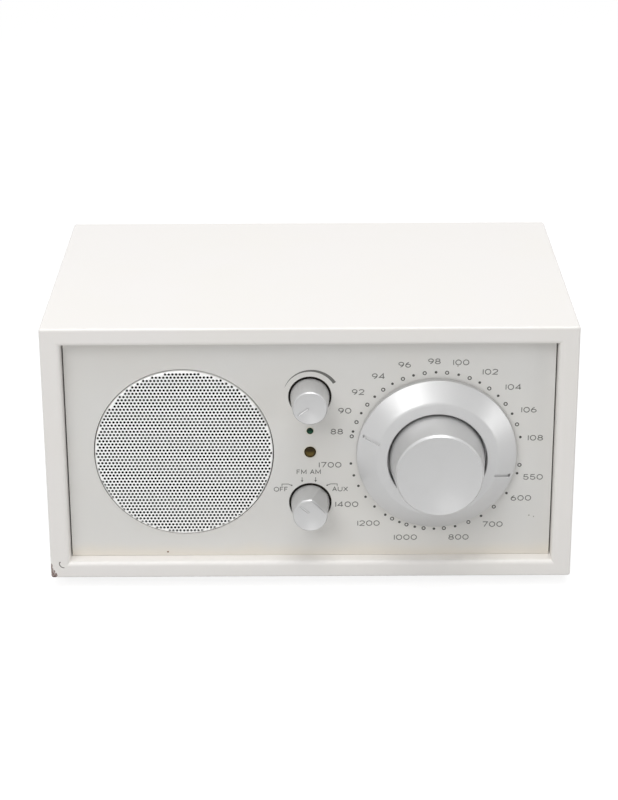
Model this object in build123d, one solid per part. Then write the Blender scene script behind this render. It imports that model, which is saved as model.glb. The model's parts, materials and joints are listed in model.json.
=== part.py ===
from build123d import *
import math
import os

# A table radio: white lacquered wooden cabinet, recessed face plate, round speaker
# grille, two small knobs and a large geared tuning dial. All sizes in millimetres.
# +X is the viewer's right, -Y is towards the viewer and +Z is up. The origin is on
# the surface that the radio stands on, at the middle of its overall width and depth.

# ------------------------------------------------------------------ driving dimensions

# Cabinet: a glued wooden wrap, open at the front and at the back
cabinet_width = 213.0
cabinet_height = 109.4
cabinet_depth = 133.5
side_wall = 8.0
top_wall = 7.4
base_wall = 7.0
cabinet_edge_radius = 1.0
lip_radius = 1.8
plate_recess = 6.1
panel_recess = 9.0
batten_width = 9.0
batten_depth = 12.0

# Feet and their screws
foot_height = 4.9
foot_radius = 8.0
foot_taper = 1.2
foot_floor = 2.0
foot_pocket_radius = 4.4
foot_inset_x = 17.0
foot_inset_y = 18.5

# Clearances
press_seat = 0.02
running_fit = 0.05
plate_side_fit = 0.5
plate_end_fit = 0.1
hole_fit = 0.1
air_gap = 0.35

# Face plate and the board behind it
plate_thickness = 2.0
baffle_thickness = 6.0

# Where the controls sit, from the middle of the opening
speaker_z = -1.1
dial_z = -1.2
speaker_wall_share = 9 / 13
dial_wall_gap = 14.65
volume_z = 23.2
selector_z = -23.6
power_led_z = 8.3
tuning_led_z = -1.0

# Loudspeaker, a 3 inch driver
grille_radius = 36.0
grille_gap = 0.4
grille_sheet = 0.8
grille_proud = 0.9
grille_bend = 1.0
driver_size = 77.0
driver_corner = 10.0
driver_screw_spacing = 62.0
driver_screw_radius = 1.5
driver_sheet = 1.0
driver_mouth_radius = 33.0
roll_width = 4.0
roll_height = 2.0
surround_sheet = 0.6
surround_land = 4.6
cone_sheet = 0.5
cone_depth = 10.0
cone_rim = 1.4
basket_depth = 15.0
basket_seat_radius = 22.0
basket_windows = 4
basket_window_width = 26.0
coil_radius = 7.6
coil_wall = 0.3
coil_length = 9.8
spider_sheet = 0.4
spider_ridges = 4
magnet_radius = 27.0
magnet_hole = 12.0
magnet_height = 10.0
pole_plate = 3.0
spider_land = 1.0
spider_swing = 0.7
ledge_radius = 20.5
ledge_width = 2.0
ledge_height = 4.0
basket_window_edge = 3.0
plate_step = 2.0
cap_radius = 9.0
cap_rise = 3.5
cap_sheet = 0.4
cap_margin = 0.6
board_bite = 5.0

# Small knobs, their shafts and the parts behind them
well_radius = 8.7
knob_base_radius = 7.95
knob_face_radius = 6.97
knob_edge_radius = 0.5
knob_reach = 12.3
knob_sink = 1.0
knob_bore_top = 9.2
knob_hollow_radius = 6.5
knob_hollow_top = 2.2
mark_width = 1.1
mark_depth = 0.6
mark_start = 0.8
mark_end = 5.9
flat_at_face = 5.3
flat_at_base = 7.7
shaft_radius = 3.0
shaft_flat = 1.9
bushing_radius = 4.2
bushing_reach = 1.2
control_radius = 8.5
control_depth = 9.0
control_edge = 1.0
tag_pitch = 5.0
tag_height = 2.5
tag_size = (1.2, 4.0, 0.6)
nut_flats = 10.0
nut_height = 2.0
volume_rest_angle = 214.0
selector_rest_angle = 135.5
selector_flat_angle = 45.0

# Light-emitting diodes
power_led_radius = 1.4
tuning_led_radius = 2.4
led_proud = 0.7
led_rim = 0.45
led_rim_height = 1.0
led_lead = 0.5
led_fit = 0.06

# Boards
board_thickness = 1.6
front_board_width = 24.0
front_board_overhang = 11.0
main_board_width = 92.0
main_board_depth = 34.0
main_board_inset = 8.5
main_board_y = 86.0
standoff_height = 5.0
standoff_radius = 3.0
board_inset = 4.0

# Tuning dial ring, seen as a shallow cone with a round well for the knob
ring_radius = 32.25
ring_gap = 0.6
ring_rim = 2.4
ring_shoulder_radius = 24.4
ring_shoulder_height = 8.0
ring_crown_radius = 20.25
ring_crown_height = 8.6
ring_well_radius = 19.95
ring_web_top = 3.4
ring_wall = 1.6
index_width = 1.3
index_depth = 0.8
index_inner = 24.1
index_outer = 31.0
index_angles = (163.5, -16.5)
hub_radius = 7.0
spigot_radius = 5.5

# Tuning knob
tuning_knob_radius = 19.5
tuning_knob_face_radius = 17.5
tuning_knob_edge = 1.2
tuning_knob_face = 23.5
tuning_knob_wall = 2.0
tuning_knob_clearance = 1.0
tuning_knob_boss = 6.5
tuning_shaft_top = 18.0

# Planetary reduction: the knob turns the sun, the dial ring rides on the carrier
module = 0.8
sun_teeth = 12
planet_teeth = 18
planet_count = 3
pressure_angle = 25.0
tooth_backlash = 0.16
tip_gap = 0.2
gear_width = 5.0
gear_side_gap = 0.4
carrier_plate = 2.0
carrier_edge_gap = 0.9
planet_pin_radius = 1.5
post_radius = 1.6
post_circle = 14.0
housing_radius = 25.0
housing_front = 2.0
housing_flange_radius = 31.0
housing_flange = 2.0
housing_screw_circle = 28.0
cover_thickness = 2.0
cover_screw_circle = 22.8
machine_screw_radius = 1.0
machine_head_radius = 1.9
machine_head_height = 1.3
cover_screw_bite = 6.0

# Variable capacitor that the carrier turns
coupling_radius = 5.0
coupling_length = 7.0
vane_thickness = 0.5
vane_pitch = 1.9
rotor_vanes = 8
rotor_vane_radius = 13.0
stator_half_width = 17.0
stator_height = 16.0
stator_rod_radius = 1.0
stator_rod_inset = 2.0
stator_rod_rise = 3.0
stator_notch = 5.0
gang_plate = 1.5
gang_half_width = 19.0
gang_margin = 2.5
gang_bottom = 20.0
gang_top = 16.0
pillar_radius = 2.2
pillar_offset = 12.0

# Bass port in the base
port_x = 0.0
port_y = 52.0
port_radius = 14.0
port_wall = 1.6
port_length = 46.0
port_flange_width = 4.0
port_flange = 1.4
port_flare = 2.5

# Mains transformer
core_width = 42.0
core_height = 35.0
core_stack = 16.0
core_leg = 7.0
coil_build = 6.0
transformer_inset = 40.5
transformer_y = 88.0
strap_sheet = 1.2
strap_foot = 9.0
strap_width = 12.0

# Parts on the main board
big_can_radius = 8.0
big_can_height = 22.0
small_can_radius = 4.0
small_can_height = 12.0
fin_count = 6
fin_thickness = 1.2
fin_pitch = 4.4
fin_height = 16.0
fin_length = 24.0
fin_base = 2.0
big_can_x = -34.0
small_can_x = -14.0
small_can_y = 7.0
heat_sink_x = 20.0

# Ferrite rod aerial under the top
rod_radius = 5.0
rod_length = 120.0
rod_x = 18.0
rod_y = 78.0
rod_drop = 11.0
rod_holder_thickness = 6.0
rod_holder_width = 15.0
rod_holder_spacing = 92.0
rod_holder_wall = 3.0
rod_holder_corner = 4.0
winding_length = 26.0
winding_build = 1.2

# Rear panel and what it carries
panel_thickness = 3.0
panel_gap = 0.3
panel_screw_count = 3
panel_screw_inset = 10.0
aerial_inset = 22.5
column_spacing = 36.0
aerial_socket_z = 20.0
aerial_switch_z = 0.0
terminal_z = -20.0
terminal_spacing = 12.0
sound_socket_z = (20.0, 0.0, -20.0)
cord_inset = 18.5
power_spacing = 18.0
power_row = -30.0
socket_barrel_radius = 4.7
socket_barrel = 6.8
socket_hex_flats = 11.0
socket_hex = 1.6
socket_neck_radius = 3.9
socket_core_radius = 2.6
socket_tail = 2.5
socket_pin_radius = 0.6
socket_pin_depth = 5.0
terminal_neck_radius = 1.8
terminal_base_radius = 4.2
terminal_cap_radius = 3.6
terminal_height = 7.0
terminal_base = 1.4
terminal_cap = 3.0
jack_bore_radius = 1.8
jack_bore_depth = 14.0
jack_collar_radius = 4.0
jack_collar = 0.8
jack_body = (9.0, 12.0, 12.0)
power_bore_radius = 2.75
power_pin_radius = 1.0
power_collar_radius = 4.3
gland_bore_radius = 3.2
gland_neck_radius = 5.0
gland_flange_radius = 7.2
gland_flange = 1.8
switch_body = (15.0, 6.5, 8.0)
switch_cavity = (12.0, 3.5, 5.0)
slider_button = (4.0, 3.0)
slider_travel = 4.0
slider_proud = 2.2

# Screws
wood_screw_radius = 1.5
screw_head_radius = 3.0
screw_head_height = 1.8
screw_length = 7.0
base_bite = 6.2
drive_width = 0.9
drive_depth = 0.8

# ------------------------------------------------------------------------ derived places

tuning_reach = tuning_knob_face - plate_recess
front_y = (tuning_reach - cabinet_depth) / 2
back_y = front_y + cabinet_depth
plate_y = front_y + plate_recess
baffle_back = -plate_thickness - baffle_thickness
panel_outer_y = back_y - panel_recess
panel_inner_y = panel_outer_y - panel_thickness

opening_width = cabinet_width - 2 * side_wall
opening_height = cabinet_height - top_wall - base_wall
half_opening = opening_width / 2

# The driver stands between a wall and the controls, with a set share of the spare width outside
speaker_slack = half_opening - control_radius - driver_size
speaker_x = driver_size / 2 + speaker_wall_share * speaker_slack - half_opening
dial_x = half_opening - dial_wall_gap - ring_radius - ring_gap

column_aerial = half_opening - aerial_inset
column_sound = column_aerial - column_spacing
cord_column = cord_inset - half_opening
power_column = cord_column + power_spacing
transformer_x = transformer_inset - half_opening
main_board_x = half_opening - main_board_inset - main_board_width / 2

floor_z = foot_height + base_wall
ceiling_z = foot_height + cabinet_height - top_wall
middle_z = (floor_z + ceiling_z) / 2

sun_radius = module * sun_teeth / 2
planet_radius = module * planet_teeth / 2
planet_circle = sun_radius + planet_radius
annulus_radius = planet_circle + planet_radius
annulus_teeth = sun_teeth + 2 * planet_teeth
annulus_tip = annulus_radius - module

housing_front_back = -plate_thickness - housing_front
carrier_front = housing_front_back - 0.6
carrier_back = carrier_front - carrier_plate
gear_front = carrier_back - gear_side_gap
gear_back = gear_front - gear_width
back_plate_front = gear_back - gear_side_gap
back_plate_back = back_plate_front - carrier_plate
housing_back = back_plate_back - 0.6
cover_back = housing_back - cover_thickness
coupling_front = cover_back - 1.5
coupling_back = coupling_front - coupling_length
gang_front = coupling_back - 1.0
vanes_front = gang_front - gang_plate - gang_margin
gang_rear = vanes_front - rotor_vanes * vane_pitch - vane_thickness - gang_margin
coupling_middle = (coupling_front + coupling_back) / 2
carrier_radius = annulus_tip - carrier_edge_gap
knob_floor = ring_web_top + tuning_knob_clearance

flange_front = baffle_back - surround_sheet
flange_back = flange_front - driver_sheet
cup_floor = flange_back - basket_depth
cup_back = cup_floor - driver_sheet
ledge_top = cup_floor + ledge_height
magnet_front = cup_back - pole_plate
magnet_back = magnet_front - magnet_height
gap_radius = coil_radius + coil_wall + air_gap
pole_radius = coil_radius - air_gap
roll_centre = driver_mouth_radius - air_gap - (roll_width + surround_sheet) / 2
cone_radius = roll_centre - (roll_width - surround_sheet) / 2
cap_base = flange_front - cone_depth + cap_margin
bushing_top = nut_height - plate_thickness + bushing_reach
board_front = baffle_back - control_depth
board_top = floor_z + standoff_height + board_thickness


# ------------------------------------------------------------------------------- helpers

def on_front(x, z):
    """Place at a point of the face plate: local +Z comes out of the plate, +Y is up."""
    return Location(Plane(origin=(x, plate_y, middle_z + z), x_dir=(1, 0, 0), z_dir=(0, -1, 0)))


def on_back(x, z):
    """Place at a point of the rear panel's outer face: local +Z comes out, +Y is up."""
    return Location(
        Plane(origin=(x, panel_outer_y, middle_z + z), x_dir=(-1, 0, 0), z_dir=(0, 1, 0))
    )


def spot(radius, angle, height=0.0):
    """Location at a polar place about the local axis."""
    turn = math.radians(angle)
    return Location((radius * math.cos(turn), radius * math.sin(turn), height))


def turned(corners, rounds=()):
    """Solid of revolution about the local Z axis from (radius, height) corners."""
    face = make_face(Polyline(*corners, close=True))
    for corner, radius in rounds:
        face = fillet(face.vertices().sort_by_distance(Vector(*corner))[0], radius)
    return revolve(Plane.XZ * face, Axis.Z)


def disc(radius, bottom, top):
    """Cylinder on the local axis between two heights."""
    return extrude(Pos(0, 0, bottom) * Circle(radius), top - bottom)


def tube(outer, inner, bottom, top):
    """Hollow cylinder on the local axis between two heights."""
    return extrude(Pos(0, 0, bottom) * (Circle(outer) - Circle(inner)), top - bottom)


def block(x, y, z):
    """Box from three (low, high) spans."""
    size = (x[1] - x[0], y[1] - y[0], z[1] - z[0])
    return Pos((x[0] + x[1]) / 2, (y[0] + y[1]) / 2, (z[0] + z[1]) / 2) * Box(*size)


def hexagon(flats, bottom, top):
    """Hexagonal prism on the local axis."""
    profile = Pos(0, 0, bottom) * RegularPolygon(flats / 2, 6, major_radius=False)
    return extrude(profile, top - bottom)


def flatted(radius, flat, bottom, top):
    """Round shaft with one flat, its flat at a distance from the axis towards +Y."""
    profile = Circle(radius) - Pos(0, flat + radius) * Rectangle(2 * radius, 2 * radius)
    return extrude(Pos(0, 0, bottom) * profile, top - bottom)


def screw(radius, length, head_radius=screw_head_radius, head_height=screw_head_height):
    """Pan-head screw with a cross recess: its head seats at height 0, its shank is below."""
    head = turned(
        ((0, 0), (head_radius, 0), (head_radius, head_height), (0, head_height)),
        (((head_radius, head_height), head_height * 0.6),),
    )
    recess = Pos(0, 0, head_height) * (
        Box(1.2 * head_radius, drive_width, 2 * drive_depth)
        + Box(drive_width, 1.2 * head_radius, 2 * drive_depth)
    )
    return head + disc(radius, -length, 0) - recess


def group(solids):
    """Several separate solids as one node."""
    return Compound(children=[s.solid() if isinstance(s, Part) else s for s in solids])


def involute(angle):
    """Involute function of an angle in radians."""
    return math.tan(angle) - angle


def toothed(teeth, inner, outer, half_tooth, centre):
    """Outline whose teeth are involute-sided between two radii.

    half_tooth is half the tooth's width on the pitch circle, and centre is the angle of
    one tooth, in degrees. A ring gear's spaces are this outline too.
    """
    pitch_radius = module * teeth / 2
    press = math.radians(pressure_angle)
    base = pitch_radius * math.cos(press)
    flank = [max(inner, base) + (outer - max(inner, base)) * step / 3 for step in range(4)]
    half = [
        half_tooth / pitch_radius + involute(press) - involute(math.acos(base / r))
        for r in flank
    ]
    if inner < base:
        flank.insert(0, inner)
        half.insert(0, half[0])
    points = []
    for tooth in range(teeth):
        middle = math.radians(centre + 360 * tooth / teeth)
        rising = [(r, middle - a) for r, a in zip(flank, half)]
        falling = [(r, middle + a) for r, a in zip(flank, half)]
        points += [(r * math.cos(a), r * math.sin(a)) for r, a in rising + falling[::-1]]
    return make_face(Polyline(*points, close=True))


# ------------------------------------------------------------------------ cabinet and case

def foot_places():
    """The four foot centres on the cabinet's underside."""
    return [
        (side * (cabinet_width / 2 - foot_inset_x), y)
        for side in (-1, 1)
        for y in (front_y + foot_inset_y, back_y - foot_inset_y)
    ]


def panel_screw_places():
    """(x, z) of the rear panel's screws, on the middle of each batten."""
    lowest = panel_screw_inset - opening_height / 2
    rise = -2 * lowest / (panel_screw_count - 1)
    return [
        (side * (opening_width - batten_width) / 2, lowest + step * rise)
        for side in (-1, 1)
        for step in range(panel_screw_count)
    ]


def cabinet():
    """Lacquered wooden wrap with a rounded mouth, rear battens and a port hole."""
    outer = block(
        (-cabinet_width / 2, cabinet_width / 2),
        (front_y, back_y),
        (foot_height, foot_height + cabinet_height),
    )
    outer = fillet(outer.edges(), cabinet_edge_radius)
    opening = block(
        (-opening_width / 2, opening_width / 2),
        (front_y - 1, back_y + 1),
        (floor_z, ceiling_z),
    )
    shell = outer - opening
    mouth = [
        e for e in shell.edges()
        if abs(e.center().Y - front_y) < 1e-4
        and abs(e.center().X) <= opening_width / 2 + 1e-4
        and floor_z - 1e-4 <= e.center().Z <= ceiling_z + 1e-4
    ]
    shell = fillet(mouth, lip_radius)
    for side in (-1, 1):
        inner = side * (opening_width / 2 - batten_width)
        spans = sorted((inner, side * opening_width / 2))
        shell += block(spans, (panel_inner_y - batten_depth, panel_inner_y), (floor_z, ceiling_z))
    port_hole = disc(port_hole_radius(), -1, base_wall + 1)
    shell -= Pos(port_x, front_y + port_y, foot_height) * port_hole
    for x, y in foot_places():
        shell -= Pos(x, y, foot_height) * disc(wood_screw_radius + press_seat, -1, base_bite)
    for x, y in strap_screw_places():
        shell -= Pos(x, y, floor_z) * disc(wood_screw_radius + press_seat, -base_bite, 1)
    for x, z in panel_screw_places():
        pilot = disc(wood_screw_radius + press_seat, -screw_length - 1, 0)
        shell -= on_back(x, z) * pilot
    return shell


def port_hole_radius():
    """Hole in the base that the port tube passes through."""
    return port_radius + port_wall + hole_fit


def faceplate():
    """Thin painted plate with the wells and holes of the controls."""
    outline = Rectangle(opening_width - 2 * plate_side_fit, opening_height - 2 * plate_end_fit)
    outline -= Pos(speaker_x, speaker_z) * Circle(grille_radius + grille_gap)
    outline -= Pos(0, volume_z) * Circle(well_radius)
    outline -= Pos(0, selector_z) * Circle(well_radius)
    outline -= Pos(0, power_led_z) * Circle(power_led_radius + led_fit)
    outline -= Pos(0, tuning_led_z) * Circle(tuning_led_radius + led_fit)
    outline -= Pos(dial_x, dial_z) * Circle(hub_radius + air_gap)
    return on_front(0, 0) * extrude(outline, -plate_thickness)


def baffle():
    """Wooden board behind the plate that carries the driver, the controls and the gears."""
    outline = Rectangle(opening_width - 2 * press_seat, opening_height - 2 * press_seat)
    outline -= Pos(speaker_x, speaker_z) * Circle(driver_mouth_radius)
    for z in (volume_z, selector_z):
        outline -= Pos(0, z) * Circle(bushing_radius + hole_fit)
    outline -= Pos(0, power_led_z) * Circle(power_led_radius + led_rim + hole_fit)
    outline -= Pos(0, tuning_led_z) * Circle(tuning_led_radius + led_rim + hole_fit)
    outline -= Pos(dial_x, dial_z) * Circle(housing_radius + hole_fit)
    board = extrude(Pos(0, 0, -plate_thickness) * outline, -baffle_thickness)
    pilot = disc(driver_screw_radius + press_seat, baffle_back - 1, baffle_back + board_bite + 0.3)
    for place in driver_screw_places():
        board -= Pos(speaker_x, speaker_z) * place * pilot
    for place in housing_screw_places():
        board -= Pos(dial_x, dial_z) * place * pilot
    return on_front(0, 0) * board


def rear_panel():
    """Recessed back board with holes for the sockets, the switch and the cord gland."""
    outline = Rectangle(opening_width - 2 * panel_gap, opening_height - 2 * panel_gap)
    outline -= Pos(-column_aerial, aerial_socket_z) * Circle(socket_neck_radius + hole_fit)
    for z in terminal_places():
        outline -= Pos(-column_aerial, z) * Circle(terminal_neck_radius + hole_fit)
    for z in sound_socket_z:
        outline -= Pos(-column_sound, z) * Circle(jack_collar_radius + hole_fit)
    outline -= Pos(-power_column, power_row) * Circle(power_collar_radius + hole_fit)
    outline -= Pos(-cord_column, power_row) * Circle(gland_neck_radius + hole_fit)
    outline -= Pos(-column_aerial, aerial_switch_z) * Rectangle(
        slider_button[0] + slider_travel + 2 * air_gap, slider_button[1] + 2 * air_gap
    )
    for x, z in panel_screw_places():
        outline -= Pos(-x, z) * Circle(wood_screw_radius + hole_fit)
    return on_back(0, 0) * extrude(outline, -panel_thickness)


def rubber_feet():
    """Four tapered feet with a pocket for the screw's head."""
    foot = turned(
        (
            (wood_screw_radius + hole_fit, foot_height),
            (foot_radius, foot_height),
            (foot_radius - foot_taper, 0),
            (foot_pocket_radius, 0),
            (foot_pocket_radius, foot_height - foot_floor),
            (wood_screw_radius + hole_fit, foot_height - foot_floor),
        ),
        (((foot_radius - foot_taper, 0), 0.8),),
    )
    return group([Pos(x, y, 0) * foot for x, y in foot_places()])


def case_screws():
    """Identical wood screws of the feet, the rear panel and the transformer's strap."""
    wood_screw = screw(wood_screw_radius, screw_length)
    feet = [
        Pos(x, y, foot_height - foot_floor) * Rot(180, 0, 0) * wood_screw for x, y in foot_places()
    ]
    rear = [on_back(x, z) * wood_screw for x, z in panel_screw_places()]
    strap = [Pos(x, y, floor_z + strap_sheet) * wood_screw for x, y in strap_screw_places()]
    return group(feet + rear + strap)


def bass_port():
    """Tube through the base with a flared mouth and a thin flange below."""
    mouth = foot_height - port_flange
    profile = turned(
        (
            (port_radius + port_flare, mouth),
            (port_radius, mouth + port_flare),
            (port_radius, mouth + port_length),
            (port_radius + port_wall, mouth + port_length),
            (port_radius + port_wall, foot_height),
            (port_radius + port_wall + port_flange_width, foot_height),
            (port_radius + port_wall + port_flange_width, mouth),
        )
    )
    return Pos(port_x, front_y + port_y, 0) * profile


# ---------------------------------------------------------------------------- loudspeaker

def driver_screw_places():
    """The driver's four screw places, from its axis."""
    half = driver_screw_spacing / 2
    return [Pos(x, y) for x in (-half, half) for y in (-half, half)]


def speaker_grille():
    """Formed disc whose edge bends back to a skirt that seats on the baffle."""
    inner = grille_radius - grille_sheet
    sheet = turned(
        (
            (0, grille_proud),
            (grille_radius, grille_proud),
            (grille_radius, -plate_thickness),
            (inner, -plate_thickness),
            (inner, grille_proud - grille_sheet),
            (0, grille_proud - grille_sheet),
        ),
        (((grille_radius, grille_proud), grille_bend),),
    )
    return on_front(speaker_x, speaker_z) * sheet


def speaker_basket():
    """Pressed steel frame: square flange, conical cup with windows and a spider ledge."""
    flange = fillet(Rectangle(driver_size, driver_size).vertices(), driver_corner)
    flange -= Circle(driver_mouth_radius)
    for place in driver_screw_places():
        flange -= place * Circle(driver_screw_radius + hole_fit)
    basket = extrude(Pos(0, 0, flange_back) * flange, driver_sheet)
    wall = driver_sheet * 1.2
    basket += turned(
        (
            (driver_mouth_radius, flange_front),
            (driver_mouth_radius + wall, flange_front),
            (basket_seat_radius + wall, cup_floor),
            (basket_seat_radius + wall, cup_back),
            (gap_radius, cup_back),
            (gap_radius, cup_floor),
            (basket_seat_radius, cup_floor),
        )
    )
    basket += tube(ledge_radius, ledge_radius - ledge_width, cup_floor - 0.2, ledge_top)
    window = Box(
        driver_mouth_radius, basket_window_width, basket_depth - 2 * basket_window_edge
    )
    for step in range(basket_windows):
        turn = Rot(0, 0, 45 + 360 * step / basket_windows)
        reach = ledge_radius + air_gap + driver_mouth_radius / 2
        basket -= turn * Pos(reach, 0, (flange_back + cup_floor) / 2) * window
    return on_front(speaker_x, speaker_z) * basket


def speaker_top_plate():
    """Steel ring that forms the outer side of the magnetic gap."""
    return on_front(speaker_x, speaker_z) * tube(
        magnet_radius - plate_step, gap_radius, cup_back - pole_plate, cup_back
    )


def speaker_magnet():
    """Ferrite ring."""
    ring = tube(magnet_radius, magnet_hole, magnet_back, magnet_front)
    return on_front(speaker_x, speaker_z) * ring


def speaker_pole():
    """Back plate with the pole in the middle of the voice coil."""
    pole = disc(magnet_radius - plate_step, magnet_back - pole_plate, magnet_back)
    pole += disc(pole_radius, magnet_back - 1, cup_back)
    return on_front(speaker_x, speaker_z) * pole


def speaker_cone():
    """Paper cone with a flat rim for the surround."""
    neck = coil_radius + coil_wall + press_seat
    bottom = flange_front - cone_depth
    cone = turned(
        (
            (cone_radius, flange_front),
            (cone_radius - cone_rim, flange_front),
            (neck, bottom),
            (neck, bottom - cone_sheet * 1.2),
            (cone_radius - cone_rim + 0.1, flange_front - cone_sheet),
            (cone_radius, flange_front - cone_sheet),
        )
    )
    return on_front(speaker_x, speaker_z) * cone


def dust_cap():
    """Domed cap over the voice coil."""
    ball = (cap_radius**2 + cap_rise**2) / (2 * cap_rise)
    centre = cap_base + cap_rise - ball
    dome = Pos(0, 0, centre) * (Sphere(ball) - Sphere(ball - cap_sheet))
    dome -= Pos(0, 0, cap_base - 2 * ball) * Box(4 * ball, 4 * ball, 4 * ball)
    return on_front(speaker_x, speaker_z) * dome


def voice_coil():
    """Thin former that runs in the magnetic gap."""
    top = flange_front - cone_depth + cap_margin
    former = tube(coil_radius + coil_wall, coil_radius, top - coil_length, top)
    return on_front(speaker_x, speaker_z) * former


def speaker_surround():
    """Half-roll between the cone's rim and the flange, with a land that seals the baffle."""
    outer_roll = roll_width / 2 + surround_sheet / 2
    inner_roll = roll_width / 2 - surround_sheet / 2
    section = Pos(roll_centre, flange_front) * (Circle(outer_roll) - Circle(inner_roll))
    lower_half = Rectangle(3 * outer_roll, 2 * outer_roll)
    section -= Pos(roll_centre, flange_front - outer_roll) * lower_half
    for low, high in (
        (cone_radius - cone_rim, roll_centre - inner_roll),
        (roll_centre + inner_roll, driver_mouth_radius + surround_land),
    ):
        section += Pos((low + high) / 2, flange_front + surround_sheet / 2) * Rectangle(
            high - low, surround_sheet
        )
    return on_front(speaker_x, speaker_z) * revolve(Plane.XZ * section, Axis.Z)


def speaker_spider():
    """Corrugated disc that centres the voice coil."""
    start = coil_radius + coil_wall + running_fit
    first = start + spider_land
    last = ledge_radius - ledge_width
    pitch = (last - first) / (2 * spider_ridges)
    top = ledge_top + spider_sheet
    upper = [(start, top)]
    for step in range(2 * spider_ridges + 1):
        swing = 0 if step % 2 == 0 else spider_swing * (1 if step % 4 == 1 else -1)
        upper.append((first + step * pitch, top + swing))
    upper.append((ledge_radius, top))
    lower = [(r, h - spider_sheet) for r, h in reversed(upper)]
    return on_front(speaker_x, speaker_z) * turned(upper + lower)


def speaker_screws():
    """Four screws from behind through the flange into the baffle."""
    length = board_bite - (flange_back - baffle_back)
    driven = Pos(0, 0, flange_back) * Rot(180, 0, 0) * screw(driver_screw_radius, length)
    return group([on_front(speaker_x, speaker_z) * p * driven for p in driver_screw_places()])


# --------------------------------------------------------------------------- small controls

def small_knob(rest_angle, flat_angle=None):
    """Tapered knob with an engraved mark, a hollow underside and a flatted bore."""
    knob = turned(
        (
            (knob_hollow_radius, -knob_sink),
            (knob_base_radius, -knob_sink),
            (knob_base_radius, 0),
            (knob_face_radius, knob_reach),
            (0, knob_reach),
            (0, knob_hollow_top),
            (knob_hollow_radius, knob_hollow_top),
        ),
        (((knob_face_radius, knob_reach), knob_edge_radius),),
    )
    knob -= Rot(0, 0, rest_angle) * flatted(
        shaft_radius + press_seat, shaft_flat + press_seat, knob_hollow_top - 1, knob_bore_top
    )
    mark = Box(mark_end - mark_start, mark_width, 2 * mark_depth)
    knob -= Rot(0, 0, rest_angle) * Pos((mark_start + mark_end) / 2, 0, knob_reach) * mark
    if flat_angle is not None:
        lean = (flat_at_base - flat_at_face) / knob_reach
        slab = make_face(
            Polyline(
                (flat_at_face - lean, knob_reach + 1),
                (flat_at_base + lean * knob_sink * 1.5, -knob_sink * 1.5),
                (2 * knob_base_radius, -knob_sink * 1.5),
                (2 * knob_base_radius, knob_reach + 1),
                close=True,
            )
        )
        cut = extrude(Plane.XZ * slab, knob_base_radius, both=True)
        knob -= Rot(0, 0, flat_angle) * cut
    return knob


def small_shaft(rest_angle):
    """Steel shaft, round in its bushing and flatted in the knob."""
    shaft = disc(shaft_radius, baffle_back - control_depth + 2, knob_hollow_top - 0.5)
    shaft += Rot(0, 0, rest_angle) * flatted(
        shaft_radius, shaft_flat, knob_hollow_top - 0.5, knob_bore_top
    )
    return shaft


def control_bushing():
    """Threaded bushing that the nut holds, with the shaft's bore."""
    return tube(bushing_radius, shaft_radius + running_fit, baffle_back, bushing_top)


def volume_control():
    """Round potentiometer with three solder tags."""
    back = baffle_back - control_depth
    body = disc(control_radius, back, baffle_back)
    body = fillet(body.edges().group_by(Axis.Z)[0], control_edge)
    for step in (-1, 0, 1):
        body += Pos(step * tag_pitch, -control_radius, back + tag_height) * Box(*tag_size)
    body -= disc(shaft_radius + running_fit, back + 1.5, baffle_back + 1)
    return on_front(0, volume_z) * (body + control_bushing())


def selector_switch():
    """Square rotary switch with a row of solder tags."""
    back = baffle_back - control_depth
    body = fillet(Rectangle(2 * control_radius, 2 * control_radius).vertices(), control_edge)
    body = extrude(Pos(0, 0, back) * body, control_depth)
    for step in (-2, -1, 0, 1, 2):
        body += Pos(step * tag_pitch / 1.4, -control_radius, back + tag_height) * Box(*tag_size)
    body -= disc(shaft_radius + running_fit, back + 1.5, baffle_back + 1)
    return on_front(0, selector_z) * (body + control_bushing())


def control_nuts():
    """Two hexagon nuts on the bushings."""
    nut = hexagon(nut_flats, -plate_thickness, nut_height - plate_thickness)
    nut -= disc(bushing_radius + press_seat, -plate_thickness - 1, nut_height)
    return group([on_front(0, z) * nut for z in (volume_z, selector_z)])


def lamp(radius):
    """Light-emitting diode: domed lens, rim behind the plate and two leads to the board."""
    rim_back = -plate_thickness - led_rim_height
    lens = turned(
        (
            (0, rim_back),
            (radius + led_rim, rim_back),
            (radius + led_rim, -plate_thickness),
            (radius, -plate_thickness),
            (radius, led_proud),
            (0, led_proud),
        ),
        (((radius, led_proud), 0.9 * led_proud),),
    )
    length = rim_back - board_front
    for side in (-1, 1):
        lead = Box(led_lead, led_lead, length)
        lens += Pos(side * radius / 2, 0, rim_back - length / 2) * lead
    return lens


def front_board():
    """Circuit board that the two controls and the lamps are soldered to."""
    height = volume_z - selector_z + 2 * front_board_overhang
    board = Rectangle(front_board_width, height)
    middle = (volume_z + selector_z) / 2
    return on_front(0, middle) * extrude(Pos(0, 0, board_front) * board, -board_thickness)


# ------------------------------------------------------------------------- tuning mechanism

def cone_height(radius):
    """Height of the dial ring's cone at a radius."""
    rim = ring_gap + ring_rim
    run = (ring_radius - radius) / (ring_radius - ring_shoulder_radius)
    return rim + run * (ring_shoulder_height - rim)


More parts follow.
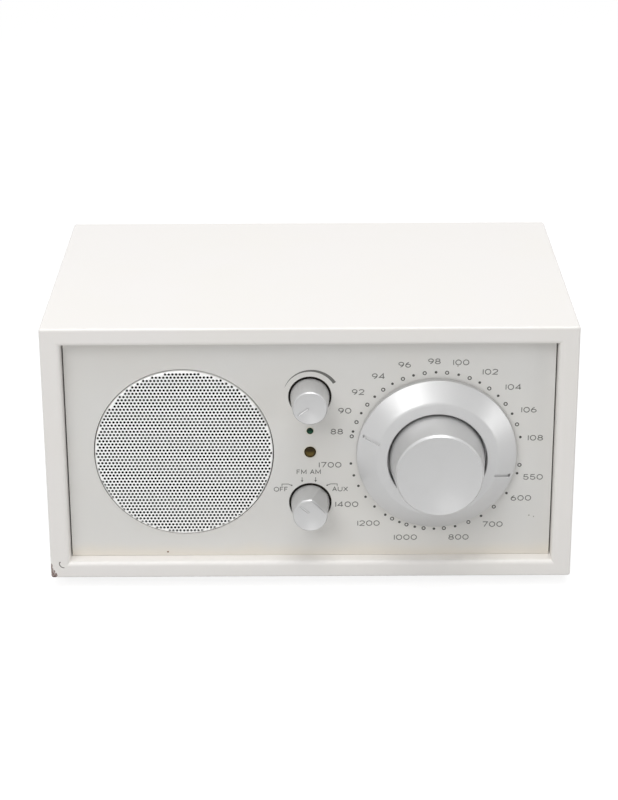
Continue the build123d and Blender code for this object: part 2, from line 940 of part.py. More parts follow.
def dial_ring():
    """Shallow conical ring with a web, a hub and a spigot for the planet carrier."""
    bore = shaft_radius + running_fit
    inner = ring_well_radius + ring_wall
    outer = ring_radius - ring_wall
    ring = turned(
        (
            (bore, carrier_back),
            (spigot_radius, carrier_back),
            (spigot_radius, carrier_front),
            (hub_radius, carrier_front),
            (hub_radius, ring_gap),
            (inner, ring_gap),
            (inner, ring_shoulder_height - ring_wall),
            (ring_shoulder_radius - ring_wall / 2, ring_shoulder_height - ring_wall),
            (outer, cone_height(outer) - ring_wall),
            (outer, ring_gap),
            (ring_radius, ring_gap),
            (ring_radius, ring_gap + ring_rim),
            (ring_shoulder_radius, ring_shoulder_height),
            (ring_crown_radius, ring_crown_height),
            (ring_well_radius, ring_crown_height - (ring_crown_radius - ring_well_radius)),
            (ring_well_radius, ring_web_top),
            (bore, ring_web_top),
        ),
        (
            ((ring_shoulder_radius, ring_shoulder_height), 2.5),
            ((ring_radius, ring_gap + ring_rim), 0.4),
        ),
    )
    band = turned(
        (
            (index_inner, cone_height(index_inner) - index_depth),
            (index_outer, cone_height(index_outer) - index_depth),
            (index_outer, ring_crown_height),
            (index_inner, ring_crown_height + 1),
        )
    )
    for angle in index_angles:
        bar = Rot(0, 0, angle) * Pos(ring_radius, 0, ring_shoulder_height) * Box(
            2 * (ring_radius - hub_radius), index_width, 4 * ring_shoulder_height
        )
        ring -= band & bar
    return on_front(dial_x, dial_z) * ring


def planet_angles():
    """Directions of the planets from the dial's axis, in degrees."""
    return [360 * step / planet_count for step in range(planet_count)]


def planet_carrier():
    """Front plate of the carrier with posts that hold the back plate at its distance."""
    plate = disc(carrier_radius, carrier_back, carrier_front)
    plate -= disc(spigot_radius + press_seat, carrier_back - 1, carrier_front + 1)
    for angle in planet_angles():
        plate -= spot(planet_circle, angle) * disc(
            planet_pin_radius + press_seat, carrier_back - 1, carrier_front + 1
        )
        plate += spot(post_circle, angle + 180 / planet_count) * disc(
            post_radius, back_plate_front, carrier_back + 0.5
        )
    return on_front(dial_x, dial_z) * plate


def carrier_back_plate():
    """Back plate of the carrier with the output shaft."""
    plate = disc(carrier_radius, back_plate_back, back_plate_front)
    for angle in planet_angles():
        plate -= spot(planet_circle, angle) * disc(
            planet_pin_radius + press_seat, back_plate_back - 1, back_plate_front + 1
        )
    plate += disc(shaft_radius, coupling_middle, back_plate_back + 0.5)
    return on_front(dial_x, dial_z) * plate


def planet_pins():
    """Pins that the planets turn on."""
    pin = disc(planet_pin_radius, back_plate_back, carrier_front)
    return group([on_front(dial_x, dial_z) * spot(planet_circle, a) * pin for a in planet_angles()])


def planet_gear(angle):
    """One planet, with its tooth gaps facing the sun and a tooth of the ring gear."""
    half_tooth = (math.pi * module / 2 - tooth_backlash) / 2
    outline = toothed(
        planet_teeth,
        planet_radius - module - tip_gap,
        planet_radius + module,
        half_tooth,
        180 / planet_teeth,
    )
    gear = extrude(Pos(0, 0, gear_back) * outline, gear_width)
    gear -= disc(planet_pin_radius + running_fit, gear_back - 1, gear_front + 1)
    return on_front(dial_x, dial_z) * Rot(0, 0, angle) * Pos(planet_circle, 0, 0) * gear


def tuning_shaft():
    """Knob shaft with the sun gear cut on its end."""
    half_tooth = (math.pi * module / 2 - tooth_backlash) / 2
    outline = toothed(
        sun_teeth, sun_radius - module - tip_gap, sun_radius + module, half_tooth, 0
    )
    shaft = extrude(Pos(0, 0, gear_back) * outline, gear_width)
    shaft += disc(shaft_radius, gear_back, knob_floor)
    shaft += flatted(shaft_radius, shaft_flat, knob_floor - 0.5, tuning_shaft_top)
    return on_front(dial_x, dial_z) * shaft


def annulus_gear():
    """Fixed housing: front bearing for the dial's hub, internal teeth and a flange."""
    half_space = (math.pi * module / 2 + tooth_backlash) / 2
    spaces = toothed(
        annulus_teeth,
        annulus_tip,
        annulus_radius + module + tip_gap,
        half_space,
        180 / annulus_teeth,
    )
    body = disc(housing_radius, housing_back, -plate_thickness)
    body -= disc(hub_radius + running_fit, housing_back - 1, 0)
    body -= extrude(Pos(0, 0, housing_back - 1) * spaces, housing_front_back - housing_back + 1)
    flange = tube(
        housing_flange_radius, housing_radius - 1, baffle_back - housing_flange, baffle_back
    )
    for place in housing_screw_places():
        flange -= place * disc(
            driver_screw_radius + hole_fit, baffle_back - housing_flange - 1, baffle_back + 1
        )
    for place in cover_screw_places():
        body -= place * disc(
            machine_screw_radius + press_seat, housing_back - 1, housing_back + cover_screw_bite + 1
        )
    return on_front(dial_x, dial_z) * (body + flange)


def housing_screw_places():
    """Screw places of the housing's flange."""
    return [spot(housing_screw_circle, 60 + 120 * step) for step in range(3)]


def cover_screw_places():
    """Screw places of the gear cover."""
    return [spot(cover_screw_circle, 120 * step) for step in range(3)]


def gear_cover():
    """Rear cover with the output shaft's bearing."""
    cover = disc(housing_radius, cover_back, housing_back)
    cover -= disc(shaft_radius + running_fit, cover_back - 1, housing_back + 1)
    for place in cover_screw_places():
        cover -= place * disc(machine_screw_radius + hole_fit, cover_back - 1, housing_back + 1)
    return on_front(dial_x, dial_z) * cover


def gearbox_screws():
    """Screws of the housing's flange and of the gear cover, driven from behind."""
    flange_back_height = baffle_back - housing_flange
    into_board = screw(driver_screw_radius, board_bite + housing_flange - 1)
    into_metal = screw(
        machine_screw_radius,
        cover_thickness + cover_screw_bite,
        machine_head_radius,
        machine_head_height,
    )
    from_behind = Pos(0, 0, flange_back_height) * Rot(180, 0, 0) * into_board
    flange_set = [place * from_behind for place in housing_screw_places()]
    cover_set = [
        p * Pos(0, 0, cover_back) * Rot(180, 0, 0) * into_metal for p in cover_screw_places()
    ]
    return group([on_front(dial_x, dial_z) * s for s in flange_set + cover_set])


def tuning_knob():
    """Large hollow knob with a boss on the flatted shaft."""
    knob = turned(
        (
            (0, tuning_knob_face),
            (tuning_knob_face_radius, tuning_knob_face),
            (tuning_knob_radius, knob_floor),
            (tuning_knob_radius - tuning_knob_wall, knob_floor),
            (tuning_knob_face_radius - tuning_knob_wall, tuning_knob_face - 2 * tuning_knob_wall),
            (tuning_knob_boss, tuning_knob_face - 2 * tuning_knob_wall),
            (tuning_knob_boss, knob_floor),
            (0, knob_floor),
        ),
        (((tuning_knob_face_radius, tuning_knob_face), tuning_knob_edge),),
    )
    knob -= flatted(
        shaft_radius + press_seat, shaft_flat + press_seat, knob_floor - 1, tuning_shaft_top
    )
    return on_front(dial_x, dial_z) * knob


# ------------------------------------------------------------------------ tuning capacitor

def gang_plate_outline():
    """End plate of the capacitor's frame, with the shaft's bearing hole."""
    height = gang_bottom + gang_top
    plate = Pos(0, (gang_top - gang_bottom) / 2) * Rectangle(2 * gang_half_width, height)
    plate = fillet(plate.vertices(), 2.0)
    return plate - Circle(shaft_radius + running_fit)


def capacitor_frame():
    """Two end plates, the strip between them and three pillars to the gear cover."""
    rear_back = gang_rear - gang_plate
    frame = extrude(Pos(0, 0, gang_front - gang_plate) * gang_plate_outline(), gang_plate)
    frame += extrude(Pos(0, 0, rear_back) * gang_plate_outline(), gang_plate)
    frame += block(
        (-gang_half_width + 2, gang_half_width - 2),
        (-gang_bottom, -gang_bottom + gang_plate),
        (rear_back + 0.5, gang_front - 0.5),
    )
    upper = pillar_offset
    for x, y in ((-pillar_offset, upper), (pillar_offset, upper), (0, -pillar_offset)):
        frame += Pos(x, y) * disc(pillar_radius, gang_front - 0.5, cover_back)
    return on_front(dial_x, dial_z) * frame


def capacitor_stator():
    """Fixed vanes on two rods."""
    vane = Pos(0, -stator_height / 2) * Rectangle(2 * stator_half_width, stator_height)
    vane -= Circle(stator_notch)
    stator = [
        extrude(Pos(0, 0, vanes_front - step * vane_pitch) * vane, -vane_thickness)
        for step in range(rotor_vanes + 1)
    ]
    solid = stator[0]
    for next_vane in stator[1:]:
        solid += next_vane
    for side in (-1, 1):
        place = Pos(side * (stator_half_width - stator_rod_inset), -stator_height + stator_rod_rise)
        solid += place * disc(stator_rod_radius, gang_rear, gang_front - gang_plate)
    return on_front(dial_x, dial_z) * solid


def capacitor_rotor():
    """Half-round vanes on a shaft, with the coupling sleeve for the carrier's shaft."""
    rear_back = gang_rear - gang_plate
    rotor = disc(shaft_radius, rear_back - 1, coupling_back + 1)
    rotor += disc(coupling_radius, coupling_back, coupling_front)
    rotor -= disc(shaft_radius + press_seat, coupling_middle, coupling_front + 1)
    vane = Circle(rotor_vane_radius)
    vane -= Pos(0, rotor_vane_radius + 1) * Rectangle(3 * rotor_vane_radius, 2 * rotor_vane_radius)
    for step in range(rotor_vanes):
        height = vanes_front - (step + 0.5) * vane_pitch
        rotor += extrude(Pos(0, 0, height) * vane, -vane_thickness)
    return on_front(dial_x, dial_z) * rotor


# ------------------------------------------------------------------------------ electronics

def board_corner_places():
    """Standoff places under the main board."""
    half_x = main_board_width / 2 - board_inset
    half_y = main_board_depth / 2 - board_inset
    return [
        (main_board_x + sx * half_x, front_y + main_board_y + sy * half_y)
        for sx in (-1, 1)
        for sy in (-1, 1)
    ]


def on_board(x, y):
    """Place on the main board's top face, from the board's centre."""
    return Pos(main_board_x + x, front_y + main_board_y + y, board_top)


def main_board():
    """Receiver and amplifier board above the base."""
    board = Box(main_board_width, main_board_depth, board_thickness)
    return on_board(0, 0) * Pos(0, 0, -board_thickness / 2) * board


def board_standoffs():
    """Four spacers between the base and the main board."""
    post = disc(standoff_radius, floor_z, floor_z + standoff_height)
    return group([Pos(x, y) * post for x, y in board_corner_places()])


def board_capacitors():
    """Electrolytic cans standing on the main board."""
    big = turned(
        ((0, 0), (big_can_radius, 0), (big_can_radius, big_can_height), (0, big_can_height)),
        (((big_can_radius, big_can_height), 1.0),),
    )
    small = turned(
        (
            (0, 0),
            (small_can_radius, 0),
            (small_can_radius, small_can_height),
            (0, small_can_height),
        ),
        (((small_can_radius, small_can_height), 0.8),),
    )
    cans = [on_board(big_can_x, 0) * big]
    cans += [on_board(small_can_x, side * small_can_y) * small for side in (1, -1)]
    return group(cans)


def heat_sink():
    """Finned heat sink of the power amplifier."""
    width = (fin_count - 1) * fin_pitch + fin_thickness
    sink = Pos(0, 0, fin_base / 2) * Box(width, fin_length, fin_base)
    for step in range(fin_count):
        x = step * fin_pitch - (width - fin_thickness) / 2
        sink += Pos(x, 0, fin_height / 2) * Box(fin_thickness, fin_length, fin_height)
    return on_board(heat_sink_x, 0) * sink


def at_transformer():
    """Place of the transformer's middle."""
    return Pos(transformer_x, front_y + transformer_y, floor_z + core_height / 2)


def transformer_core():
    """Stack of laminations with two windows."""
    window_width = (core_width - 4 * core_leg) / 2
    stack = Box(core_width, core_stack, core_height)
    for side in (-1, 1):
        x = side * (core_leg + window_width / 2)
        stack -= Pos(x, 0, 0) * Box(window_width, core_stack + 2, core_height - 2 * core_leg)
    return at_transformer() * stack


def transformer_coil():
    """Bobbin and windings round the middle leg."""
    coil = Box(
        2 * (core_leg + coil_build), core_stack + 2 * coil_build, core_height - 2 * core_leg - 0.4
    )
    coil = fillet(coil.edges().filter_by(Axis.Z), 2.0)
    coil -= Box(2 * core_leg + 0.1, core_stack + 0.1, core_height)
    return at_transformer() * coil


def transformer_strap():
    """Steel strap over the core, with a foot on each side."""
    half = core_width / 2 + press_seat
    top = core_height + press_seat
    outline = make_face(
        Polyline(
            (half, 0),
            (half + strap_foot, 0),
            (half + strap_foot, strap_sheet),
            (half + strap_sheet, strap_sheet),
            (half + strap_sheet, top + strap_sheet),
            (-half - strap_sheet, top + strap_sheet),
            (-half - strap_sheet, strap_sheet),
            (-half - strap_foot, strap_sheet),
            (-half - strap_foot, 0),
            (-half, 0),
            (-half, top),
            (half, top),
            close=True,
        )
    )
    strap = extrude(Plane.XZ * outline, strap_width / 2, both=True)
    strap = Pos(transformer_x, front_y + transformer_y, floor_z) * strap
    for x, y in strap_screw_places():
        strap -= Pos(x, y, floor_z) * disc(wood_screw_radius + hole_fit, -1, strap_sheet + 1)
    return strap


def strap_screw_places():
    """Screw places of the strap's two feet."""
    reach = core_width / 2 + (strap_foot + strap_sheet) / 2
    return [(transformer_x + side * reach, front_y + transformer_y) for side in (-1, 1)]


def along_rod(x):
    """Place on the ferrite rod's axis, local +Z along +X."""
    origin = (rod_x + x, front_y + rod_y, ceiling_z - rod_drop)
    return Location(Plane(origin=origin, x_dir=(0, 1, 0), z_dir=(1, 0, 0)))


def ferrite_rod():
    """Ferrite rod of the medium-wave aerial."""
    return along_rod(0) * disc(rod_radius, -rod_length / 2, rod_length / 2)


def aerial_winding():
    """Coil wound near one end of the rod."""
    start = rod_holder_spacing / 2 - winding_length - rod_holder_thickness
    inner = rod_radius + running_fit
    return along_rod(start) * tube(inner + winding_build, inner, 0, winding_length)


def rod_holders():
    """Two plastic holders that hang the rod from the top."""
    holder = block(
        (-rod_holder_thickness / 2, rod_holder_thickness / 2),
        (-rod_holder_width / 2, rod_holder_width / 2),
        (-rod_radius - rod_holder_wall, rod_drop),
    )
    bottom_edges = holder.edges().group_by(Axis.Z)[0].filter_by(Axis.X)
    holder = fillet(bottom_edges, rod_holder_corner)
    solids = []
    for side in (-1, 1):
        x = side * rod_holder_spacing / 2
        hole = along_rod(x) * disc(
            rod_radius + running_fit, -rod_holder_thickness, rod_holder_thickness
        )
        solids.append(Pos(rod_x + x, front_y + rod_y, ceiling_z - rod_drop) * holder - hole)
    return group(solids)


# ------------------------------------------------------------------------------- rear parts

def aerial_socket():
    """Screw-on coaxial aerial socket with a hexagon flange."""
    socket = hexagon(socket_hex_flats, 0, socket_hex)
    socket += disc(socket_barrel_radius, socket_hex - 0.2, socket_hex + socket_barrel)
    socket += disc(socket_neck_radius, -panel_thickness - socket_tail, 0.2)
    face = socket_hex + socket_barrel
    socket -= tube(socket_barrel_radius - 0.9, socket_core_radius, face - 1, face + 1)
    socket -= disc(socket_pin_radius, face - socket_pin_depth, face + 1)
    return on_back(column_aerial, aerial_socket_z) * socket


def terminal_places():
    """Heights of the two aerial terminals."""
    return [terminal_z - terminal_spacing / 2, terminal_z + terminal_spacing / 2]


def aerial_terminals():
    """Two terminal posts with knurled caps."""
    post = disc(terminal_base_radius, 0, terminal_base)
    post += disc(terminal_neck_radius, -panel_thickness - socket_tail, terminal_height - 0.5)
    cap_bottom = terminal_height - terminal_cap
    post += tube(terminal_cap_radius, terminal_neck_radius - 0.2, cap_bottom, terminal_height)
    return group([on_back(column_aerial, z) * post for z in terminal_places()])


def aerial_switch():
    """Slide switch body behind the panel, open towards the panel's window."""
    width, depth, height = switch_body
    body = Pos(0, 0, -panel_thickness - depth / 2) * Box(width, height, depth)
    body -= Pos(0, 0, -panel_thickness - switch_cavity[1] / 2) * Box(
        switch_cavity[0], switch_cavity[2], switch_cavity[1]
    )
    return on_back(column_aerial, aerial_switch_z) * body


def switch_slider():
    """Slider with a small button through the panel's window."""
    depth = switch_cavity[1] - 2 * air_gap
    base_width = switch_cavity[0] - slider_travel - 2 * air_gap
    base_front = -panel_thickness - air_gap
    slider = Pos(0, 0, base_front - depth / 2) * Box(
        base_width, switch_cavity[2] - 2 * air_gap, depth
    )
    length = slider_proud - base_front
    slider += Pos(0, 0, base_front + length / 2) * Box(slider_button[0], slider_button[1], length)
    return on_back(column_aerial, aerial_switch_z) * Pos(-slider_travel / 2, 0, 0) * slider


def jack(bore_radius, collar_radius):
    """Round-collared socket with a square body behind the panel."""
    width, height, depth = jack_body
    body = Pos(0, 0, -panel_thickness - depth / 2) * Box(width, height, depth)
    body += disc(collar_radius, -panel_thickness - 0.5, jack_collar)
    return body - disc(bore_radius, jack_collar - jack_bore_depth, jack_collar + 1)


def sound_sockets():
    """Three 3.5 mm sockets: auxiliary input, record output and headphones."""
    socket = jack(jack_bore_radius, jack_collar_radius)
    return group([on_back(column_sound, z) * socket for z in sound_socket_z])


def power_socket():
    """Low-voltage barrel socket with its centre pin."""
    socket = jack(power_bore_radius, power_collar_radius)
    socket += disc(power_pin_radius, jack_collar - jack_bore_depth - 0.3, jack_collar - 1.5)
    return on_back(power_column, power_row) * socket


def cord_gland():
    """Bush in the rear panel that the mains cord would pass through."""
    gland = turned(
        (
            (gland_bore_radius, -panel_thickness - 1.5),
            (gland_neck_radius, -panel_thickness - 1.5),
            (gland_neck_radius, 0),
            (gland_flange_radius, 0),
            (gland_flange_radius, gland_flange),
            (gland_bore_radius, gland_flange),
        ),
        (((gland_flange_radius, gland_flange), 0.8), ((gland_bore_radius, gland_flange), 0.6)),
    )
    return on_back(cord_column, power_row) * gland


# ---------------------------------------------------------------------------------- assembly

def assembly():
    """Every sub-part by its node name."""
    parts = {
        "cabinet": cabinet(),
        "faceplate": faceplate(),
        "baffle": baffle(),
        "rear_panel": rear_panel(),
        "rubber_feet": rubber_feet(),
        "case_screws": case_screws(),
        "bass_port": bass_port(),
        "speaker_grille": speaker_grille(),
        "speaker_basket": speaker_basket(),
        "speaker_top_plate": speaker_top_plate(),
        "speaker_magnet": speaker_magnet(),
        "speaker_pole": speaker_pole(),
        "speaker_cone": speaker_cone(),
        "dust_cap": dust_cap(),
        "voice_coil": voice_coil(),
        "speaker_surround": speaker_surround(),
        "speaker_spider": speaker_spider(),
        "speaker_screws": speaker_screws(),
        "volume_knob": on_front(0, volume_z) * small_knob(volume_rest_angle),
        "volume_shaft": on_front(0, volume_z) * small_shaft(volume_rest_angle),
        "volume_control": volume_control(),
        "selector_knob": (
            on_front(0, selector_z) * small_knob(selector_rest_angle, selector_flat_angle)
        ),
        "selector_shaft": on_front(0, selector_z) * small_shaft(selector_rest_angle),
        "selector_switch": selector_switch(),
        "control_nuts": control_nuts(),
        "power_led": on_front(0, power_led_z) * lamp(power_led_radius),
        "tuning_led": on_front(0, tuning_led_z) * lamp(tuning_led_radius),
        "front_board": front_board(),
        "tuning_knob": tuning_knob(),
        "tuning_shaft": tuning_shaft(),
        "dial_ring": dial_ring(),
        "planet_carrier": planet_carrier(),
        "carrier_back_plate": carrier_back_plate(),
        "planet_pins": planet_pins(),
        "annulus_gear": annulus_gear(),
        "gear_cover": gear_cover(),
        "gearbox_screws": gearbox_screws(),
        "capacitor_frame": capacitor_frame(),
        "capacitor_stator": capacitor_stator(),
        "capacitor_rotor": capacitor_rotor(),
        "main_board": main_board(),
        "board_standoffs": board_standoffs(),
        "board_capacitors": board_capacitors(),
        "heat_sink": heat_sink(),
        "transformer_core": transformer_core(),
        "transformer_coil": transformer_coil(),
        "transformer_strap": transformer_strap(),
        "ferrite_rod": ferrite_rod(),
        "aerial_winding": aerial_winding(),
        "rod_holders": rod_holders(),
        "aerial_socket": aerial_socket(),
        "aerial_terminals": aerial_terminals(),
        "aerial_switch": aerial_switch(),
        "switch_slider": switch_slider(),
        "sound_sockets": sound_sockets(),
        "power_socket": power_socket(),
        "cord_gland": cord_gland(),
    }
    for number, angle in enumerate(planet_angles(), start=1):
        parts[f"planet_gear_{number}"] = planet_gear(angle)
    return parts


os.makedirs("parts", exist_ok=True)
for node, shape in assembly().items():
    export_step(shape, f"parts/{node}.step")
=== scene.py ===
"""Looks of a table radio: white lacquered cabinet, perforated grille and a geared dial."""

import json
import logging
import math
from dataclasses import dataclass
from enum import Enum
from typing import Callable, Dict, List, Optional, Sequence, Tuple, Union

import bmesh
import bpy
from bmesh.types import BMesh, BMVert
from bpy.types import Material, Node, NodeSocket, Object, World
from mathutils import Matrix, Vector, geometry


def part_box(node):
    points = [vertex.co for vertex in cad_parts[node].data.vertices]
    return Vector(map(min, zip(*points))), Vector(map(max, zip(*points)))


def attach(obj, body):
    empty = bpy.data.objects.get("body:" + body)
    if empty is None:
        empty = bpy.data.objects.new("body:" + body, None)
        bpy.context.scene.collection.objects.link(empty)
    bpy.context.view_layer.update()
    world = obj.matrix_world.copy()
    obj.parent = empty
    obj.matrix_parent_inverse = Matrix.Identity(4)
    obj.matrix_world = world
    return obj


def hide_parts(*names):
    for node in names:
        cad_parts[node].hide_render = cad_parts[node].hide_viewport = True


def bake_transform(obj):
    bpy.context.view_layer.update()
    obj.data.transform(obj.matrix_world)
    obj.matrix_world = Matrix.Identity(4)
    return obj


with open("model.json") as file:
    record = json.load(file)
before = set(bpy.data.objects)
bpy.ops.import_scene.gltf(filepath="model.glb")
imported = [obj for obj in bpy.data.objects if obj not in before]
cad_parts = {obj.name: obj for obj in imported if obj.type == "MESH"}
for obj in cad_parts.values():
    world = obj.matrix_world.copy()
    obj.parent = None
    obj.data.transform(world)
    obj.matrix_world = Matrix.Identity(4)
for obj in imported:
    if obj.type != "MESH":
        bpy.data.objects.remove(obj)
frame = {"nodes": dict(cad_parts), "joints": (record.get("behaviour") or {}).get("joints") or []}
bpy.context.view_layer.update()

MM = 0.001
MARK_ROUGHNESS = 0.2
ALL_SMOOTH = 180.0

log = logging.getLogger("radio")

Colour = Tuple[float, float, float]
Place = Tuple[float, float, float]
Point = Tuple[float, float]


def tone(red: int, green: int, blue: int) -> Colour:
    """Turns a display colour of 0 to 255 into a linear one."""
    parts = [channel / 255 for channel in (red, green, blue)]
    return tuple(p / 12.92 if p <= 0.04045 else ((p + 0.055) / 1.055) ** 2.4 for p in parts)


def opaque(colour: Colour) -> Tuple[float, float, float, float]:
    """Adds a full alpha to a colour."""
    return (*colour, 1.0)


def scaled(colour: Colour, factor: float) -> Colour:
    """Scales a colour."""
    return tuple(channel * factor for channel in colour)


def middle_of(node: str) -> Vector:
    """Middle of a CAD node's box."""
    low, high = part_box(node)
    return (low + high) / 2


def joint_point(name: str) -> Vector:
    """Point on a joint's axis."""
    return Vector(next(j["pos_m"] for j in frame["joints"] if j["name"] == name))


def base_name(material: Material) -> str:
    """Name of a CAD material without the number that keeps it apart from others."""
    return material.name.split(".")[0]


def per(size: float) -> float:
    """Texture scale at which one feature is about this many millimetres."""
    return 1 / (size * MM)


# ---------------------------------------------------------------------------- shader graph


class Signal:
    """A shader socket whose arithmetic adds Math nodes to its graph."""

    def __init__(self, graph: "Graph", socket: NodeSocket) -> None:
        """Wraps a socket of a graph."""
        self.graph = graph
        self.socket = socket

    def maths(self, operation: str, *operands: "Value") -> "Signal":
        """Adds a Math node with its operands in order."""
        inputs = dict(enumerate(operands))
        return self.graph.read("ShaderNodeMath", {"operation": operation}, inputs)

    def __add__(self, other: "Value") -> "Signal":
        """Sum."""
        return self.maths("ADD", self, other)

    def __radd__(self, other: "Value") -> "Signal":
        """Sum with a number on the left."""
        return self.maths("ADD", other, self)

    def __sub__(self, other: "Value") -> "Signal":
        """Difference."""
        return self.maths("SUBTRACT", self, other)

    def __rsub__(self, other: "Value") -> "Signal":
        """Difference from a number."""
        return self.maths("SUBTRACT", other, self)

    def __mul__(self, other: "Value") -> "Signal":
        """Product."""
        return self.maths("MULTIPLY", self, other)

    def __rmul__(self, other: "Value") -> "Signal":
        """Product with a number on the left."""
        return self.maths("MULTIPLY", other, self)

    def __truediv__(self, other: "Value") -> "Signal":
        """Quotient."""
        return self.maths("DIVIDE", self, other)

    def wave(self) -> "Signal":
        """Sine."""
        return self.maths("SINE", self)

    def size(self) -> "Signal":
        """Absolute value."""
        return self.maths("ABSOLUTE", self)

    def centred(self) -> "Signal":
        """The signal about zero instead of about one half."""
        return self - 0.5

    def above(self, level: float) -> "Signal":
        """One where the signal is above a level, else zero."""
        return self.maths("GREATER_THAN", self, level)

    def either(self, other: "Value") -> "Signal":
        """The larger of two signals."""
        return self.maths("MAXIMUM", self, other)

    def between(self, low: float, high: float) -> "Signal":
        """Smooth step.

        Args:
            low: Where it is zero.
            high: Where it is one.

        Returns:
            The step.
        """
        inputs = {0: self, 1: low, 2: high, 3: 0.0, 4: 1.0}
        settings = {"interpolation_type": "SMOOTHSTEP"}
        return self.graph.read("ShaderNodeMapRange", settings, inputs)


Value = Union[Signal, float, Tuple[float, ...]]
Socket = Union[int, str]


class Graph:
    """Node tree of one material, or of the sky."""

    def __init__(
        self, owner: Union[Material, World], output: str = "ShaderNodeOutputMaterial"
    ) -> None:
        """Empties a node tree and gives it an output.

        Args:
            owner: What the tree belongs to.
            output: Type of its output node.
        """
        owner.use_nodes = True
        self.owner = owner
        self.tree = owner.node_tree
        self.tree.nodes.clear()
        self.output = self.add(output)

    @classmethod
    def of_new(cls, name: str) -> "Graph":
        """Starts a new material of that name."""
        return cls(bpy.data.materials.new(name))

    def add(
        self,
        kind: str,
        settings: Optional[Dict[str, object]] = None,
        inputs: Optional[Dict[Socket, Value]] = None,
    ) -> Node:
        """Adds a node.

        Args:
            kind: The node's type.
            settings: What is set on the node, first.
            inputs: Values or links of its sockets, by name or number.

        Returns:
            The node.
        """
        node = self.tree.nodes.new(kind)
        for name, value in (settings or {}).items():
            setattr(node, name, value)
        for name, value in (inputs or {}).items():
            if isinstance(value, Signal):
                self.tree.links.new(value.socket, node.inputs[name])
            else:
                node.inputs[name].default_value = value
        return node

    def read(
        self,
        kind: str,
        settings: Optional[Dict[str, object]] = None,
        inputs: Optional[Dict[Socket, Value]] = None,
        output: Socket = 0,
    ) -> Signal:
        """Adds a node as add does, and reads one of its outputs, by name or number."""
        return Signal(self, self.add(kind, settings, inputs).outputs[output])

    def place(self) -> Signal:
        """Position in the shared frame."""
        return self.read("ShaderNodeTexCoord", output="Object")

    def from_point(self, point: Sequence[float], stretch: Sequence[float] = (1, 1, 1)) -> Signal:
        """Position seen from a point.

        Args:
            point: The new origin in metres.
            stretch: Factor on each axis.

        Returns:
            The vector.
        """
        vector = self.place()
        for operation, other in (("SUBTRACT", point), ("MULTIPLY", stretch)):
            inputs = {0: vector, 1: tuple(other)}
            vector = self.read("ShaderNodeVectorMath", {"operation": operation}, inputs)
        return vector

    def distance(self, point: Sequence[float], stretch: Sequence[float] = (1, 1, 1)) -> Signal:
        """Distance from a point, with stretched axes."""
        inputs = {0: self.from_point(point, stretch)}
        return self.read("ShaderNodeVectorMath", {"operation": "LENGTH"}, inputs, "Value")

    def axes(self, vector: Optional[Signal] = None) -> Tuple[Signal, Signal, Signal]:
        """Splits a vector, or the position, into its three numbers."""
        node = self.add("ShaderNodeSeparateXYZ", inputs={0: vector or self.place()})
        return tuple(Signal(self, output) for output in node.outputs)

    def noise(
        self, size: float, detail: float = 2.0, rough: float = 0.5, vector: Optional[Signal] = None
    ) -> Signal:
        """Smooth noise.

        Args:
            size: Size of a feature in millimetres.
            detail: Octaves.
            rough: Weight of the finer octaves.
            vector: Where it is read, the position if none.

        Returns:
            A signal round one half.
        """
        inputs = {"Vector": vector or self.place(), "Scale": per(size)}
        inputs |= {"Detail": detail, "Roughness": rough}
        return self.read("ShaderNodeTexNoise", inputs=inputs)

    def cells(self, size: float) -> Signal:
        """Distance to the nearest of scattered points that lie about size millimetres apart."""
        inputs = {"Vector": self.place(), "Scale": per(size)}
        return self.read("ShaderNodeTexVoronoi", inputs=inputs, output="Distance")

    def corners(self) -> Signal:
        """How convex the surface is, about one half where it is flat."""
        return self.read("ShaderNodeNewGeometry", output="Pointiness")

    def blend(self, factor: Value, first: Value, second: Value) -> Signal:
        """Mixes two colours.

        Args:
            factor: Share of the second colour.
            first: Colour at zero.
            second: Colour at one.

        Returns:
            The mixed colour.
        """
        pair = [v if isinstance(v, Signal) else opaque(v) for v in (first, second)]
        inputs = {0: factor, 6: pair[0], 7: pair[1]}
        return self.read("ShaderNodeMix", {"data_type": "RGBA"}, inputs, 2)

    def bump(self, height: Signal, depth: float, below: Optional[Signal] = None) -> Signal:
        """Bends the normal by a height.

        Args:
            height: Height from zero to one.
            depth: What one stands for, in millimetres.
            below: A normal that is bent already.

        Returns:
            The normal.
        """
        inputs: Dict[Socket, Value] = {"Height": height, "Distance": depth * MM}
        if below is not None:
            inputs["Normal"] = below
        return self.read("ShaderNodeBump", inputs=inputs)

    def surface(self, **sockets: Value) -> None:
        """Ends the graph with a Principled shader; socket names have _ for a space."""
        inputs = {name.replace("_", " "): value for name, value in sockets.items()}
        self.end(self.read("ShaderNodeBsdfPrincipled", inputs=inputs))

    def end(self, shader: Signal) -> None:
        """Links a shader to the output."""
        self.tree.links.new(shader.socket, self.output.inputs[0])


# -------------------------------------------------------------------------------- finishes


class Finish:
    """Anything that can make a material."""

    def paint(self, g: Graph) -> None:
        """Lays the finish on the graph of an empty material."""
        raise NotImplementedError

    def make(self, name: str) -> Material:
        """Builds the material.

        Args:
            name: Name of the material.

        Returns:
            The material.
        """
        g = Graph.of_new(name)
        self.paint(g)
        return g.owner


@dataclass(frozen=True)
class Blemish:
    """A mark on a finish: its place and size in millimetres, and the colour that shows."""

    point: Place
    radius: float
    colour: Colour

    def cover(self, g: Graph) -> Signal:
        """One where the mark shows, else zero."""
        raise NotImplementedError

    def centre(self) -> Place:
        """Place of the mark in metres."""
        return tuple(v * MM for v in self.point)

    def lay_over(self, g: Graph, colour: Value, rough: Value) -> Tuple[Signal, Signal]:
        """Colour and roughness of a finish with the mark laid over them."""
        cover = self.cover(g)
        return g.blend(cover, colour, self.colour), rough + MARK_ROUGHNESS * cover


